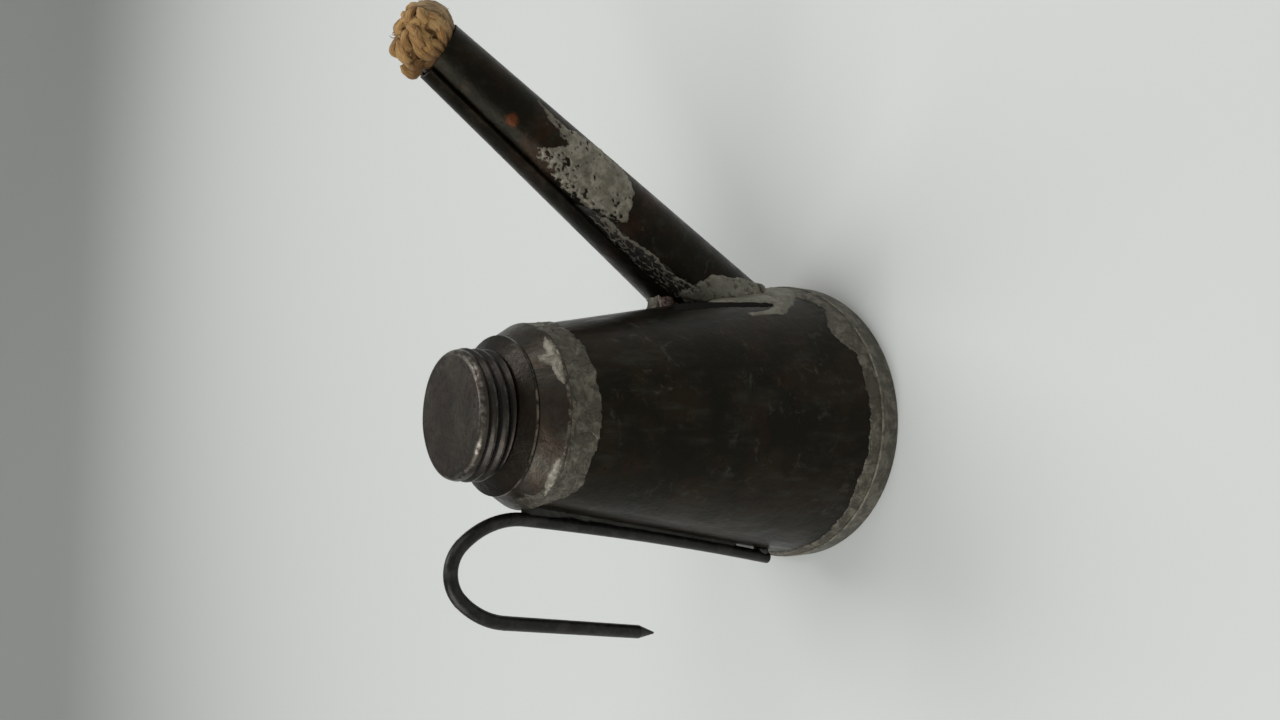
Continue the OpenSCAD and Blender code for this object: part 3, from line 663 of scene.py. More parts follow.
solderMaterial = oldSolder("oldSolder", "dull")
edgedSolder = oldSolder("edgedSolder", "dull", True, 0.35)
paleSolder = oldSolder("paleSolder", "bright", True)
brightSolder = oldSolder("brightSolder", "pale", True, 0.2)
dribbleSolder = oldSolder("dribbleSolder", "net")
sheetSolder = oldSolder("sheetSolder", "sheet", True)
blackSolder = oldSolder("blackSolder", "black")
# Black, dull and rough: painted shade for the crack beside the spout's root and inside the open joint
shadeBlack, shadeBlackTree, shadeBlackShader = newMaterial("shadeBlack", (0.004, 0.0035, 0.003), 0.0, 0.95)
shadeBlackShader.inputs["Specular IOR Level"].default_value = 0.1

band = skin("base_solder_band", onCone, np.arange(-180, 180, 0.6), np.arange(baseSolder["low"], 9.8, 0.2),
            baseSolderDepth, True)
finishPiece(band, "lamp", edgedSolder, "solder", "base_solder")
band = skin("shoulder_solder_band", onCone, np.arange(-180, 180, 0.9), np.arange(50.9, skirtZ + 0.1, 0.2),
            shoulderSolderDepth, True)
finishPiece(band, "lamp", edgedSolder, "solder", "shoulder_solder")
band = skin("shoulder_solder_patches", onShoulder, np.arange(-156, -40, 0.8), np.arange(0.0, 3.8, 0.15),
            shoulderPatchDepth)
finishPiece(band, "lamp", brightSolder, "solder")
band = skin("shoulder_solder_smear", onShoulder, np.arange(-183, -112, 0.8), np.arange(0.0, 3.8, 0.15),
            flowDepth({"outline": shoulderSmear, "thick": 0.05}, skirtRadius, 0.5, 0.5, 23.0))
finishPiece(band, "lamp", edgedSolder, "solder")
print("solder bands are made")


# Solder on the spout

# Outlines of (direction, distance up the spout)
spoutPatch = {
    "outline": [(27, 41.7), (26, 38.8), (17, 35.9), (20, 31.9), (32, 28.6), (49, 24.4), (71, 25.7), (98, 26.6),
                (122, 29.6), (128, 34.2), (112, 38.5), (102, 40.7), (106, 44.1), (109, 46.2), (91, 42.3),
                (80, 39.4), (59, 40.2), (46, 42.4)],
    "thick": 0.20,
    "pitSize": 0.6,
    "solid": 0.72,              # noise above which there is a pit
    "lapDirt": 0.50,            # how much lower that is beside the lap
    "topDirt": 0.26,            # how much lower it is towards the upper end
}
spoutDribble = {
    "outline": [(4, 29.5), (20, 29.0), (31, 27.0), (31, 23.2), (37, 20.7), (41, 17.3), (37, 14.5), (42, 11.2),
                (50, 8.0), (24, 6.0), (22, 9.0), (13, 11.6), (9, 15.5), (6, 20.0), (2, 25.0)],
    "smoothEdge": [(8.0, 50), (11.2, 43), (14.5, 38), (17.3, 41), (20.7, 37), (23.2, 31), (27.0, 31)],
    "edgeWidth": 0.5,
    "thick": 0.17,
    "netSize": 0.85,
    "netWidth": 0.13,
}
lapDirt = {
    "outline": [(2, 33.0), (24, 31.5), (31, 28.0), (34, 24.0), (39, 20.0), (42, 16.0), (42, 11.5), (50, 7.6),
                (36, 7.6), (22, 8.6), (10, 10.0), (3, 14.0), (1, 24.0)],
    "thick": 0.03,
}
rootSheet = {
    "outline": [(20, 9.4), (34, 9.6), (50, 8.7), (64, 8.0), (80, 7.2), (91, 4.8), (100, 3.2), (112, 1.4),
                (126, -1.6), (150, -3.8), (170, -4.6), (170, -8.6), (125, -7.6), (105, -5.6), (86, -3.6), (66, -0.4),
                (50, 2.9), (32, 7.0)],
    "thick": 0.30,
    "cracks": 0.02,
}
# Outlines of (azimuth, height) on the cone: the tongue under the spout and the strip beside the crack
rootTongue = {
    "outline": [(-45, 15.0), (-41, 17.0), (-34, 14.0), (-29, 12.6), (-18, 11.8), (4, 11.0), (10, 8.0), (11, 4.5),
                (-24, 4.5), (-30, 7.2), (-38, 11.0)],
    "thick": 0.58,
}
# A thin black sheet of painted shade on the cone, in the crack beside the spout's root
rootShade = {
    "outline": [(-4, 27.6), (-12, 28.8), (-20, 30.5), (-26, 32.0), (-28, 31.5), (-29, 28.0), (-29.5, 25.0),
                (-32.5, 20.8), (-35, 18.0), (-37, 15.0), (-38, 13.2), (-30, 12.8), (-18, 13.5), (-14, 20.0), (-4, 24.5)],
    "thick": 0.04,
}
rootFlange = {
    "outline": [(-19, 24.0), (-22.5, 22.5), (-26, 20.5), (-29, 17.7), (-33, 14.8), (-36, 12.8), (-36, 11.5),
                (-16, 11.5), (-15, 15.0), (-15, 20.0)],
    "thick": 0.30,
}
rootStrip = {
    "outline": [(-43, 15.0), (-42.5, 20.5), (-39.5, 21.0), (-38.8, 15.5)],
    "thick": 0.14,
}


def patchDepth(direction, along, point):
    look = spoutPatch
    arc = math.radians(1) * (spout["rootRadius"] - spoutTaper * along)
    inside = insideDistance(direction * arc, along, [(a * arc, b) for a, b in look["outline"]])
    inside += 0.5 * lumps(point, 1.5, 4, 2.0) + 0.2
    solid = look["solid"] - look["lapDirt"] * (1 - smoothStep(direction, 24, 66))
    solid -= look["topDirt"] * smoothStep(along, 34, 41)
    pits = lumps(point, look["pitSize"], 5, 6.0) + 0.55 * lumps(point, 1.7, 3, 27.0)
    inside = min(inside, (solid - pits) * 1.2)
    if inside < 0:
        return max(-0.12, inside * 0.8)
    return 0.03 + look["thick"] * smoothStep(inside, 0.0, 0.45) + 0.05 * lumps(point, 0.9, 3, 2.0)


def dribbleDepth(direction, along, point):
    # A net of thin runs with a smooth edge away from the lap
    look = spoutDribble
    arc = math.radians(1) * (spout["rootRadius"] - spoutTaper * along)
    inside = insideDistance(direction * arc, along, [(a * arc, b) for a, b in look["outline"]])
    inside += 0.4 * lumps(point, 1.3, 4, 7.0) + 0.15
    heights, edges = zip(*look["smoothEdge"])
    fromEdge = (float(np.interp(along, heights, edges)) - direction) * arc
    drawn = (direction * arc, along * 0.42, 5.0)
    net = (look["netWidth"] - abs(lumps(drawn, look["netSize"], 4, 11.0))) * 3.0
    smooth = look["edgeWidth"] * (0.9 + 1.5 * lumps(point, 1.3, 3, 3.0)) - abs(fromEdge - 0.4 * lumps(point, 1.0, 3, 15.0))
    inside = min(inside, max(net, smooth))
    if inside < 0:
        return max(-0.12, inside * 0.8)
    return 0.05 + look["thick"] * smoothStep(inside, 0.0, 0.3)


piece = skin("spout_patch_sheet", onSpout, np.arange(8, 140, 1.3), np.arange(22.5, 48, 0.16), patchDepth)
finishPiece(piece, "lamp", paleSolder, "solder", "spout_patch_solder")
piece = skin("spout_dribble", onSpout, np.arange(-4, 60, 0.9), np.arange(4.5, 31, 0.11), dribbleDepth)
finishPiece(piece, "lamp", dribbleSolder, "solder", "spout_seam_solder")
piece = skin("spout_lap_dirt", onSpout, np.arange(-6, 60, 1.5), np.arange(6, 35, 0.2),
             flowDepth(lapDirt, 6.4, 0.5, 0.4, 5.0))
finishPiece(piece, "lamp", blackSolder, "solder")
piece = skin("root_sheet", onSpout, np.arange(10, 180, 1.3), np.arange(-9, 12, 0.15),
             flowDepth(rootSheet, 7.2, 0.35, 0.5, 13.0))
finishPiece(piece, "lamp", sheetSolder, "solder")
piece = skin("root_tongue", onCone, np.arange(-52, 18, 0.5), np.arange(3.8, 19, 0.16),
             flowDepth(rootTongue, 21.0, 0.35, 1.5, 17.0))
finishPiece(piece, "lamp", sheetSolder, "solder")
# Painted shade: the black sheet in the crack beside the spout's root
piece = skin("root_painted_shade", onCone, np.arange(-42, -2, 0.7), np.arange(11, 33, 0.2),
             flowDepth(rootShade, 20.0, 0.3, 0.5, 33.0))
finishPiece(piece, "lamp", shadeBlack, "solder")
piece = skin("root_flange", onCone, np.arange(-40, -12, 0.5), np.arange(10, 26, 0.16),
             flowDepth(rootFlange, 20.0, 0.35, 0.6, 35.0))
finishPiece(piece, "lamp", sheetSolder, "solder")
piece = skin("root_strip", onCone, np.arange(-47, -34, 0.35), np.arange(13, 23, 0.14),
             flowDepth(rootStrip, 20.0, 0.2, 0.35, 19.0))
finishPiece(piece, "lamp", sheetSolder, "solder")


# What fills the crotch between cone and spout

crotch = {
    "z": 25.62,
    "bridge": ((-1.1, 1.4), (-0.8, 3.4)),       # from front to back, and from bottom to top over the crotch
    "saddle": ((-0.9, 2.2), (3.1, 4.3)),
    "sag": 0.9,                 # how far the saddle's middle hangs
    "sleeve": ((1.0, 11.0), (-0.80, -0.50)),   # along the spout, and off its outer surface
}


def spoutFaceX(y, z):
    # Where a level line along X meets the spout's side that faces the cap
    low, high = 0.0, 60.0
    for _ in range(40):
        x = (low + high) / 2
        gone = Vector((x, y, z)) - spoutRoot
        radius = spout["rootRadius"] - spoutTaper * gone.dot(spoutAxis)
        if gone.dot(spoutSide) + math.sqrt(max(0.0, radius * radius - y * y)) > 0:
            high = x
        else:
            low = x
    return x


def blockSurface(name, counts, place):
    # Closed block whose surface points come from three shares between 0 and 1
    index, vertices, faces = {}, [], []

    def corner(*key):
        if key not in index:
            index[key] = len(vertices)
            vertices.append(place(*(k / c for k, c in zip(key, counts))))
        return index[key]

    for axis in range(3):
        first, second = (axis + 1) % 3, (axis + 2) % 3
        for side in (0, counts[axis]):
            for i in range(counts[first]):
                for j in range(counts[second]):
                    ring = []
                    for a, b in ((0, 0), (1, 0), (1, 1), (0, 1)):
                        key = [0, 0, 0]
                        key[axis], key[first], key[second] = side, i + a, j + b
                        ring.append(corner(*key))
                    faces.append(ring if side else ring[::-1])
    return addObject(name, vertices, faces)


def makeCrotchPiece(name, reach, sag, seed):
    (front, back), (low, high) = reach

    def place(across, depth, rise):
        y = front + (back - front) * depth
        z = crotch["z"] + low + (high - low) * rise
        start = math.sqrt((footRadius - coneSlope * (z - footZ)) ** 2 - y * y) - 0.15
        end = max(spoutFaceX(y, z), start + 1.5) + 0.2
        hang = 4 * across * (1 - across)
        point = Vector((start + (end - start) * across, y, z - sag * hang * rise))
        point.y += 0.25 * hang * (1 - 2 * depth)
        return point + Vector((0, 1, 1)) * (0.12 * lumps(point, 0.9, 3, seed))

    return blockSurface(name, (8, 8, 10), place)


def makeShadeSleeve():
    # A black ring inside the open joint: painted shade
    (start, end), (inner, outer) = crotch["sleeve"]
    profile = [(start, inner), (end, inner), (end, outer), (start, outer)]
    vertices = [onSpout(5 * k, along, off) for k in range(72) for along, off in profile]
    faces = [(4 * k + j, 4 * k + (j + 1) % 4, 4 * ((k + 1) % 72) + (j + 1) % 4, 4 * ((k + 1) % 72) + j)
             for k in range(72) for j in range(4)]
    return addObject("root_shade_sleeve", vertices, faces)


pinkMetal, pinkTree, pinkShader = newMaterial("dullCopper", None, 0.4, 0.5)
pinkShade = between(pinkTree, grain(pinkTree, 0.9, 5.0, 0.7), 0.40, 0.62)
setInput(pinkTree, pinkShader.inputs["Base Color"],
         mixed(pinkTree, pinkShade, (0.075, 0.052, 0.042), (0.40, 0.290, 0.245)))
finishPiece(makeCrotchPiece("bridge_strip", crotch["bridge"], 0.0, 2.0), "lamp", pinkMetal, "copper", "spout_bridge")
finishPiece(makeCrotchPiece("crotch_saddle", crotch["saddle"], crotch["sag"], 4.0), "lamp", solderMaterial, "solder")
# Black ring of painted shade inside the open joint
finishPiece(makeShadeSleeve(), "lamp", shadeBlack, "solder")


def softened(name, source, voxel, rounds, roughen, seed):
    # A remeshed and worn copy of a CAD solid, for solder that flowed into place
    copy = bpy.data.objects.new(name, cadNodes[source].data.copy())
    bpy.context.scene.collection.objects.link(copy)
    remesh = copy.modifiers.new("remesh", "REMESH")
    remesh.mode = "VOXEL"
    remesh.voxel_size = voxel * mm
    relax = copy.modifiers.new("relax", "SMOOTH")
    relax.iterations = rounds
    relax.factor = 0.5
    bpy.context.view_layer.update()
    shaped = bpy.data.meshes.new_from_object(copy.evaluated_get(bpy.context.evaluated_depsgraph_get()))
    copy.modifiers.clear()
    copy.data = shaped
    shaped.name = name
    normals = [v.normal.copy() for v in shaped.vertices]
    for vertex, normal in zip(shaped.vertices, normals):
        vertex.co += normal * (roughen * mm * lumps(vertex.co / mm, 0.9, 3, seed))
    shaped.polygons.foreach_set("use_smooth", [True] * len(shaped.polygons))
    return copy


fillet = softened("spout_root_fillet", "spout_root_solder", 0.16, 9, 0.05, 1.0)
tongueDepth = flowDepth(rootTongue, 21.0, 0.35, 1.5, 17.0)
for vertex in fillet.data.vertices:
    # The fillet's thin foot keeps inside the tongue's outline
    x, y, z = vertex.co / mm
    azimuth = math.degrees(math.atan2(y, x))
    off = math.hypot(x, y) - (footRadius - coneSlope * (z - footZ))
    kept = tongueDepth(azimuth, z, (x, y, z)) - 0.06
    under = 0.45 + 0.75 * max(0.0, z - 8.8)
    if z < 12 and off > under and abs(azimuth) < 25:
        vertex.co = Vector(onCone(azimuth, z, under)) * mm
    if z < 11 and kept < off < 1.2 and azimuth < 25:
        vertex.co = Vector(onCone(azimuth, z, kept)) * mm
finishPiece(fillet, "lamp", sheetSolder, "solder", "spout_root_solder")
for name, source, voxel, rounds, roughen, material in (
        ("hook_foot_blob", "hook_foot_solder", 0.12, 5, 0.12, blackSolder),
        ("seam_bead", "body_seam_solder", 0.12, 3, 0.08, solderMaterial)):
    finishPiece(softened(name, source, voxel, rounds, roughen, 1.0), "lamp", material, "solder", source)


# Solder that fills the wedge between the hook's wire and the cone

hookWeb = {
    "top": 56.8,
    "wireRadius": 0.975,
    "step": 0.25,
    "foot": 0.95,               # half its width on the cone
    "waist": 0.70,              # half its width between cone and wire
}


def makeHookWeb():
    look = hookWeb
    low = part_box("hook_top_solder")[0].z / mm
    points = nodePoints("hook_top_solder")
    heights = sorted({round(float(z), 2) for z in points[:, 2]})
    sides = [float(-points[np.abs(points[:, 2] - z) < 0.02][:, 0].min()) for z in heights]
    wire = nodePoints("hook_wire")
    above = wire[(np.abs(wire[:, 2] - look["top"] - 2.6) < 0.6) & (np.abs(wire[:, 1]) < 0.1)]
    heights.append(look["top"] + 2.6)
    sides.append(float(-above[:, 0].max()))
    rows = int((look["top"] - low) / look["step"])
    vertices, faces = [], []
    for k in range(rows + 1):
        z = low + (look["top"] - low) * k / rows
        coneSide = footRadius - coneSlope * (z - footZ) if z < skirtZ - 0.3 else skirtRadius
        wireSide = max(float(np.interp(z, heights, sides)), coneSide + 0.05)
        swell = 1 + 0.45 * lumps((0, 0, z), 2.2, 4, 6.0)
        end = smoothStep(min(k, rows - k), -1, 5)
        foot, waist = look["foot"] * swell * end, look["waist"] * (0.8 + 0.2 * swell) * end
        middle = (coneSide + wireSide) / 2
        half = [(coneSide - 0.2, foot * 0.9), (coneSide + 0.03, foot), (middle, waist),
                (wireSide + 0.25, look["wireRadius"] * 0.68 * end), (wireSide + 0.5, look["wireRadius"] * 0.5 * end)]
        for side in (1, -1):
            for x, y in half[::side]:
                ragged = 0.06 * lumps((x, side * y, z), 0.8, 3, 9.0)
                vertices.append((-x, side * y + side * ragged, z))
    count = 10
    for k in range(rows):
        for j in range(count):
            n = (j + 1) % count
            faces.append((k * count + j, k * count + n, (k + 1) * count + n, (k + 1) * count + j))
    faces.append(tuple(reversed(range(count))))
    faces.append(tuple(rows * count + j for j in range(count)))
    return addObject("hook_top_web", vertices, faces)


finishPiece(makeHookWeb(), "lamp", blackSolder, "solder", "hook_top_solder")
print("solder on the spout and hook is made")


# Screw cap

capLook = {
    "wall": 0.45,
    "top": 0.55,
    "round": 0.9,
    "ridge": 0.24,
    "innerRidge": 0.17,
    "phase": 350.0,             # turn of the ridge at height zero
    "fade": 0.5,                # height over which the ridge dies out under the top
    "columns": 224,
    "rows": 66,
    "crown": 0.12,              # how far the middle of the top stands up
}


def makeCap():
    look = capLook
    outRadius = (capHigh.x - capLow.x) / 2 - look["ridge"]
    inRadius = (capHigh.x - capLow.x) / 2 - look["innerRidge"] - look["wall"]
    low, high = capLow.z, capHigh.z
    edgeStart = high - look["round"]
    ceiling = high - look["top"]
    profile = []                # radius, height, ridge share, wear and painted highlight
    for i in range(look["rows"] + 1):
        z = low + (edgeStart - low) * i / look["rows"]
        profile.append((outRadius, z, min(1.0, (edgeStart - z) / look["fade"]), 0.0))
    for i in range(1, 13):
        a = math.radians(90 * i / 12)
        profile.append((outRadius - look["round"] * (1 - math.cos(a)), edgeStart + look["round"] * math.sin(a),
                        0.0, math.sin(2 * a) ** 2))
    flat = outRadius - look["round"]
    for i in range(1, 12):
        share = 1 - i / 12
        sag = 0.05 * math.exp(-((share - 0.94) / 0.03) ** 2)
        profile.append((flat * share, high - sag, 0.0, 0.25 * share ** 6))
    ceilingRows = [(inRadius * share, ceiling, 0.0, 0.0) for share in (0.3, 0.6, 0.9)]
    inner = [(inRadius, ceiling - (ceiling - low) * i / look["rows"],
              min(1.0, (ceiling - low) * (i / look["rows"]) / look["fade"]), 0.0) for i in range(look["rows"] + 1)]
    rings = (profile, look["ridge"]), (ceilingRows + inner, look["innerRidge"])
    vertices, faces, wearAndGlint, grooveShade = [], [], [], []
    columns = look["columns"]

    def ring(radius, z, share, rubAndGlint, ridge):
        for j in range(columns):
            a = 360 * j / columns
            wave = math.cos(math.radians(a - 360 * z / threadPitch - look["phase"]))
            point = polar(radius + ridge * share * wave, a, z)
            dent = 0.05 * lumps(point, 6.0, 2, 4.0) if radius > 1 else 0.0
            vertices.append((point[0], point[1], z + dent * (1 if z > edgeStart else 0)))
            # Wear and painted highlight on the rim, and painted highlight along the thread's crests
            wearAndGlint.append(max(rubAndGlint, 0.5 * share * max(0.0, wave) ** 4))
            # Painted shade: full in the grooves, at least 0.42 of it over the threaded side
            grooveShade.append(share * max(0.42, smoothStep(-wave, 0.1, 0.9)))

    for rows, ridge in rings:
        start = len(vertices)
        for row in rows:
            ring(*row, ridge)
        for k in range(len(rows) - 1):
            for j in range(columns):
                n = (j + 1) % columns
                faces.append((start + k * columns + j, start + k * columns + n,
                              start + (k + 1) * columns + n, start + (k + 1) * columns + j))
    outerCount = len(profile) * columns
    innerLast = len(vertices) - columns
    for j in range(columns):
        n = (j + 1) % columns
        faces.append((innerLast + j, innerLast + n, n, j))
    vertices.append((0, 0, high + look["crown"] * 0))
    vertices.append((0, 0, ceiling))
    wearAndGlint += [0.0, 0.0]
    grooveShade += [0.0, 0.0]
    topLast = outerCount - columns
    for j in range(columns):
        n = (j + 1) % columns
        faces.append((topLast + j, topLast + n, len(vertices) - 2))
        faces.append((outerCount + n, outerCount + j, len(vertices) - 1))
    piece = addObject("screw_cap_shell", vertices, faces)
    for name, values in (("wearAndGlint", wearAndGlint), ("grooveShade", grooveShade)):
        marks = piece.data.attributes.new(name, "FLOAT", "POINT")
        marks.data.foreach_set("value", values)
    return piece


capMaterial = brownBrass("capBrass", (0.052, 0.044, 0.034), (0.19, 0.175, 0.155), 0.34, (0.036, 0.023, 0.018),
                         uneven=0.10)
finishPiece(makeCap(), "cap", capMaterial, "cap_brass", "screw_cap")
print("cap is made")


# Wick: loops of loose cotton yarn that come out of the spout and fold back into it

wickLook = {
    "sides": 18,
    "step": 0.22,               # distance between rings along a strand
    "rim": 0.0,                 # height of the tuft's own zero over the spout's cut
    "outer": 5.25,              # how far the loops bulge from the spout's axis
    "hollowShade": 4.5,              # distance from the tuft's middle under which it gets painted shade
    "fibres": 140,
    "proud": 7.3,               # how far they stand out of the tip
    "coreTurns": 1.6,
    "coreStrands": 7,
    "coreRadius": 3.3,
    "tailLength": 13.0,
}


def strand(points, radii, lay=0.0, seed=0.0, sides=None):
    # Tube through points with a soft lobed section; returns vertices, faces and strand coordinates
    sides = sides or wickLook["sides"]
    path = smoothPath(points, radii)
    vertices, coordinates, rings = [], [], []
    travelled = 0.0
    side = None
    for k, (here, radius) in enumerate(path):
        ahead = path[min(k + 1, len(path) - 1)][0] - path[max(k - 1, 0)][0]
        ahead.normalize()
        if side is None:
            side = ahead.orthogonal().normalized()
        side = (side - ahead * side.dot(ahead)).normalized()
        other = ahead.cross(side)
        if k:
            travelled += (here - path[k - 1][0]).length
        for j in range(sides):
            a = 2 * math.pi * j / sides
            turned = a + math.radians(lay) * travelled
            lobed = 1 + 0.07 * math.cos(3 * turned) + 0.05 * math.cos(7 * turned + seed)
            direction = side * math.cos(a) + other * math.sin(a)
            bulge = 1 + 0.24 * noise.noise(here * 0.8 + direction * 0.8 + Vector((seed, 0, 0)))
            vertices.append(here + direction * (radius * lobed * bulge))
            coordinates.append((j / sides, travelled))
        rings.append(k)
    faces, faceCoordinates = [], []
    for k in range(len(path) - 1):
        for j in range(sides):
            n = (j + 1) % sides
            quad = (k * sides + j, k * sides + n, (k + 1) * sides + n, (k + 1) * sides + j)
            faces.append(quad)
            wrap = [coordinates[q] for q in quad]
            if n == 0:
                wrap[1] = (1.0, wrap[1][1])
                wrap[2] = (1.0, wrap[2][1])
            faceCoordinates.append(wrap)
    for base, order in ((0, -1), ((len(path) - 1) * sides, 1)):
        cap = [base + j for j in range(sides)][::order]
        faces.append(tuple(cap))
        faceCoordinates.append([coordinates[q] for q in cap])
    return vertices, faces, faceCoordinates


def smoothPath(points, radii):
    # Catmull-Rom curve through the points, in rings a step apart
    points = [Vector(p) for p in points]
    padded = [points[0] * 2 - points[1]] + points + [points[-1] * 2 - points[-2]]
    path = []
    for i in range(len(points) - 1):
        p0, p1, p2, p3 = padded[i:i + 4]
        count = max(2, int((p2 - p1).length / wickLook["step"]))
        for k in range(count):
            t = k / count
            place = 0.5 * ((2 * p1) + (p2 - p0) * t + (2 * p0 - 5 * p1 + 4 * p2 - p3) * t ** 2
                           + (3 * p1 - p0 - 3 * p2 + p3) * t ** 3)
            radius = radii[i] + (radii[i + 1] - radii[i]) * smoothStep(t, 0, 1)
            path.append((place, radius))
    path.append((points[-1], radii[-1]))
    return path


def yarnObject(name, strands, greyness=None):
    vertices, faces, coordinates, grey, tint = [], [], [], [], []
    for k, part in enumerate(strands):
        start = len(vertices)
        grey += [greyness[k] if greyness else 0.0] * len(part[0])
        tint += [0.28 + 0.28 * math.sin(2.4 * k)] * len(part[0])
        vertices += part[0]
        faces += [tuple(start + q for q in face) for face in part[1]]
        coordinates += part[2]
    piece = addObject(name, vertices, faces)
    layer = piece.data.uv_layers.new(name="strand")
    flat = [value for face in coordinates for pair in face for value in pair]
    layer.data.foreach_set("uv", flat)
    middle = fromTip(0, 0, 2.2)
    hollowShade = []
    for v in vertices:
        # Painted shade between the loops deep in the tuft, and darker where they leave the spout
        deep = smoothStep(wickLook["hollowShade"] - (v - middle).length, 0.0, 1.5)
        low = 0.6 * (1 - smoothStep((v - spoutTip).dot(spoutAxis), 0.0, 2.2))
        hollowShade.append(0.9 * max(deep, low) if greyness else 0.0)
    for key, values in (("grey", grey), ("tint", tint), ("hollowShade", hollowShade)):
        marks = piece.data.attributes.new(key, "FLOAT", "POINT")
        marks.data.foreach_set("value", values)
    return piece


def fromTip(radius, azimuth, height):
    # Point in the slanted frame of the spout's cut: azimuth 180 faces the cap, 270 the camera's side
    cut = math.radians(spout["tipCut"])
    outward = spoutSide * math.cos(cut) + spoutAxis * math.sin(cut)
    upward = spoutAxis * math.cos(cut) - spoutSide * math.sin(cut)
    a = math.radians(azimuth)
    return spoutTip + (outward * math.cos(a) + spoutAcross * math.sin(a)) * radius + upward * height


# Each loop: azimuth, lean as it rises, height of its crown, thickness, share of the outer reach, greyness
tuftLoops = [(18.5 * k - 6, (16, -14, 22)[k % 3], (5.2, 4.5, 4.9)[k % 3], (0.82, 0.72, 0.78)[k % 3],
              (0.97, 0.93, 0.99)[k % 3], 0.0) for k in range(15)]
tuftLoops += [(272, -8, 4.7, 1.0, 1.0, 0.3), (299, 10, 5.2, 1.5, 1.0, 0.8), (332, -6, 4.9, 1.3, 1.0, 0.7)]
# Small loops over the crown: azimuth, distance from the axis, height, turn, half length, thickness
crownLoops = [
    (10, 0.4, 6.4, 40, 1.3, 0.70), (75, 1.8, 6.2, 150, 1.3, 0.62), (150, 1.9, 6.2, 60, 1.3, 0.66),
    (215, 1.8, 6.3, 120, 1.4, 0.70), (275, 1.9, 6.2, 10, 1.3, 0.62), (335, 1.8, 6.2, 95, 1.4, 0.68),
    (105, 3.1, 5.2, 20, 1.2, 0.62), (140, 3.2, 5.3, 150, 1.3, 0.64), (172, 3.1, 5.4, 80, 1.2, 0.60),
    (203, 3.2, 5.3, 10, 1.3, 0.66), (236, 3.1, 5.4, 115, 1.2, 0.62), (268, 3.2, 5.3, 50, 1.3, 0.66),
    (305, 3.1, 5.3, 160, 1.2, 0.60), (345, 3.1, 5.2, 45, 1.3, 0.64), (30, 3.1, 5.2, 110, 1.2, 0.62),
    (68, 3.1, 5.2, 70, 1.2, 0.60), (188, 4.0, 4.1, 130, 1.2, 0.60), (222, 4.0, 4.2, 30, 1.2, 0.62),
    (253, 4.0, 4.1, 150, 1.2, 0.58), (155, 4.0, 4.0, 60, 1.2, 0.58),
]


def makeTuft():
    outer = wickLook["outer"]
    filling = [fromTip(0, 0, -1.2), fromTip(0, 0, 0.4), fromTip(0, 0, 2.4), fromTip(0, 0, 4.2), fromTip(0, 0, 5.4)]
    strands = [strand(filling, [2.4, 3.0, 3.95, 3.8, 2.4], 0.0, 3.0)]
    greyness = [0.0]
    for k, (azimuth, lean, crown, thick, share, grey) in enumerate(tuftLoops):
        far = outer * share - thick
        sway = 5 * math.sin(3.1 * k)
        points = [
            fromTip(2.3, azimuth, -1.6), fromTip(2.6, azimuth, 0.2),
            fromTip(far - 0.35, azimuth + lean * 0.2 + sway, 1.4), fromTip(far, azimuth + lean * 0.5 - sway, 2.7),
            fromTip(far - 0.3, azimuth + lean * 0.8 + sway, 4.1), fromTip(far - 1.5, azimuth + lean, crown),
            fromTip(far - 2.6, azimuth + lean * 1.6, crown - 1.1),
        ]
        radii = [0.8, 0.85, thick * 0.92, thick, thick * 0.95, thick * 0.85, thick * 0.6]
        strands.append(strand(points, radii, 14.0, k * 1.7))
        greyness.append(grey)
    for k, (azimuth, away, height, turn, half, thick) in enumerate(crownLoops):
        a = math.radians(turn)
        middle = fromTip(away, azimuth, height)
        along = spoutSide * math.cos(a) + spoutAcross * math.sin(a)
        beside = along.cross(spoutAxis)
        points = [
            middle - along * half - spoutAxis * 1.5, middle - along * half * 0.85 + beside * 0.3 - spoutAxis * 0.4,
            middle + beside * 0.6, middle + along * half * 0.85 + beside * 0.2 - spoutAxis * 0.5,
            middle + along * half * 0.8 - beside * 0.5 - spoutAxis * 1.6,
        ]
        strands.append(strand(points, [thick * 0.7, thick * 0.95, thick, thick * 0.9, thick * 0.7], 18.0, 30 + k))
        greyness.append(0.0)
    curl = [fromTip(2.8, 176, 1.0), fromTip(4.6, 178, 1.8), fromTip(6.0, 180, 1.5), fromTip(7.0, 182, 1.9),
            fromTip(7.3, 184, 2.9), fromTip(7.0, 186, 3.8)]
    strands.append(strand(curl, [0.7, 0.75, 0.68, 0.60, 0.52, 0.32], 30.0, 51.0, 14))
    greyness.append(0.0)
    strands += strayFibres()
    greyness += [0.0] * (len(strands) - len(greyness))
    return yarnObject("wick_tuft_yarn", strands, greyness)


def strayFibres():
    # Thin fibres that stand off the tuft
    numbers = np.random.default_rng(7)
    fibres = []
    for k in range(wickLook["fibres"]):
        azimuth, up = numbers.uniform(0, 360), numbers.uniform(0.0, 1.0)
        rise = 1.2 + 5.0 * up
        away = 4.7 * math.sqrt(max(0.05, 1 - (up * 0.92) ** 2))
        start = fromTip(away * 0.8, azimuth, rise - 0.2)
        edge = fromTip(away + 0.35, azimuth + numbers.uniform(-6, 6), rise + 0.3)
        end = fromTip(away + numbers.uniform(0.1, 0.7), azimuth + numbers.uniform(-26, 26), rise + numbers.uniform(0.2, 1.0))
        fibres.append(strand([start, edge, end], [0.07, 0.06, 0.03], 0.0, 0.0, 5))
    return fibres


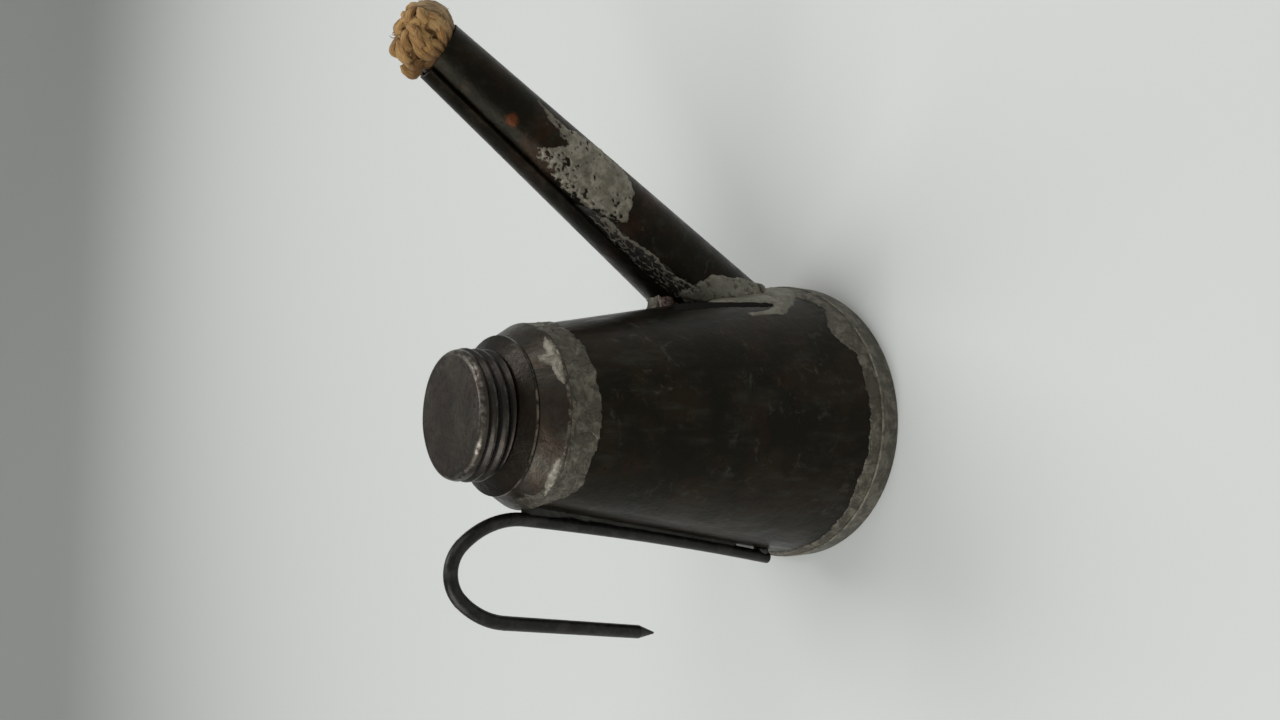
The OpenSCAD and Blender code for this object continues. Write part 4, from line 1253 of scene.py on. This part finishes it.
def makeCore():
    # Laid bundle of strands in the spout; the tail's strands leave its lower end
    strands = []
    count = wickLook["coreStrands"]
    lower = spoutTip - spoutAxis * coreLength
    thick = wickLook["coreRadius"] / 3.05
    for s in range(count):
        ring = 0.0 if s == 0 else wickLook["coreRadius"] - thick * 1.06
        points = []
        for k in range(25):
            share = k / 24
            a = 2 * math.pi * (s / (count - 1) + wickLook["coreTurns"] * share)
            points.append(lower + spoutAxis * (coreLength * share)
                          + (spoutSide * math.cos(a) + spoutAcross * math.sin(a)) * ring)
        strands.append(strand(points, [thick] * 25, 10.0, 60 + s, 12))
    return yarnObject("wick_core_yarn", strands)


def makeTail():
    # Three loose strands that bend down to the base plate and lie along it
    low, high = (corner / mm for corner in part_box("wick_tail"))
    radius = 1.0
    lower = spoutTip - spoutAxis * coreLength
    floorZ = low.z + radius * 1.15
    strands = []
    for s in (-1, 0, 1):
        start = lower + spoutAcross * (s * 2.2)
        end = Vector((low.x + 1.6, s * (high.y - 1.6), floorZ))
        points = [start, start - spoutAxis * 2.6, start.lerp(end, 0.38) + Vector((0, 0, -2.0)), start.lerp(end, 0.6), end]
        points[2].z = max(points[2].z, floorZ + 0.5)
        points[3].z = floorZ
        strands.append(strand(points, [radius, radius * 1.05, radius, radius, radius * 0.75], 20.0, 80 + s, 14))
    return yarnObject("wick_tail_yarn", strands)


cotton = cottonYarn("looseCotton")
finishPiece(makeTuft(), "wick", cotton, "wick_cotton", "wick_tuft")
finishPiece(makeCore(), "wick", cotton, "wick_cotton", "wick_core")
finishPiece(makeTail(), "wick", cotton, "wick_cotton", "wick_tail")
print("wick is made")


# Finishes of the CAD parts that keep their shape

tin = darkTin("darkTin", 0.3, 0.6)
spoutTin = darkTin("spoutTin", 0.4, 0.55, 0.7, [(onSpout(46, 48.0, 0.0), 1.3)])
# The base plate's rim gets a painted highlight line along its top edge
baseTin = oldSolder("baseRim", "dull", highlightRims=[(rimRadius, rimTop, 0.4)])
# Rings of painted highlight along the shoulder's rounded edge and the collar's lower edge
shoulderHighlight = [(skirtRadius, skirtZ + 0.45, 0.35)]
collarHighlight = [(collarRadius, collarEdgeZ, 0.26)]
shoulderTin = brownBrass("shoulderTin", (0.050, 0.036, 0.024), (0.17, 0.150, 0.120), 0.38, (0.040, 0.037, 0.029),
                         shoulderHighlight)
collarBrass = brownBrass("collarBrass", (0.018, 0.0115, 0.006), (0.12, 0.100, 0.072), 0.36, (0.012, 0.010, 0.006),
                         collarHighlight)
finishes = {
    "font_body": tin, "base_plate": baseTin, "spout_tube": spoutTin, "shoulder": shoulderTin,
    "neck_collar": collarBrass, "neck_solder": solderMaterial,
    "hook_wire": blackWire("blackWire"), "cap_washer": plainCork("oiledCork"),
}
for name, material in finishes.items():
    part = cadNodes[name]
    part.data.materials.clear()
    part.data.materials.append(material)
print("finishes are set")
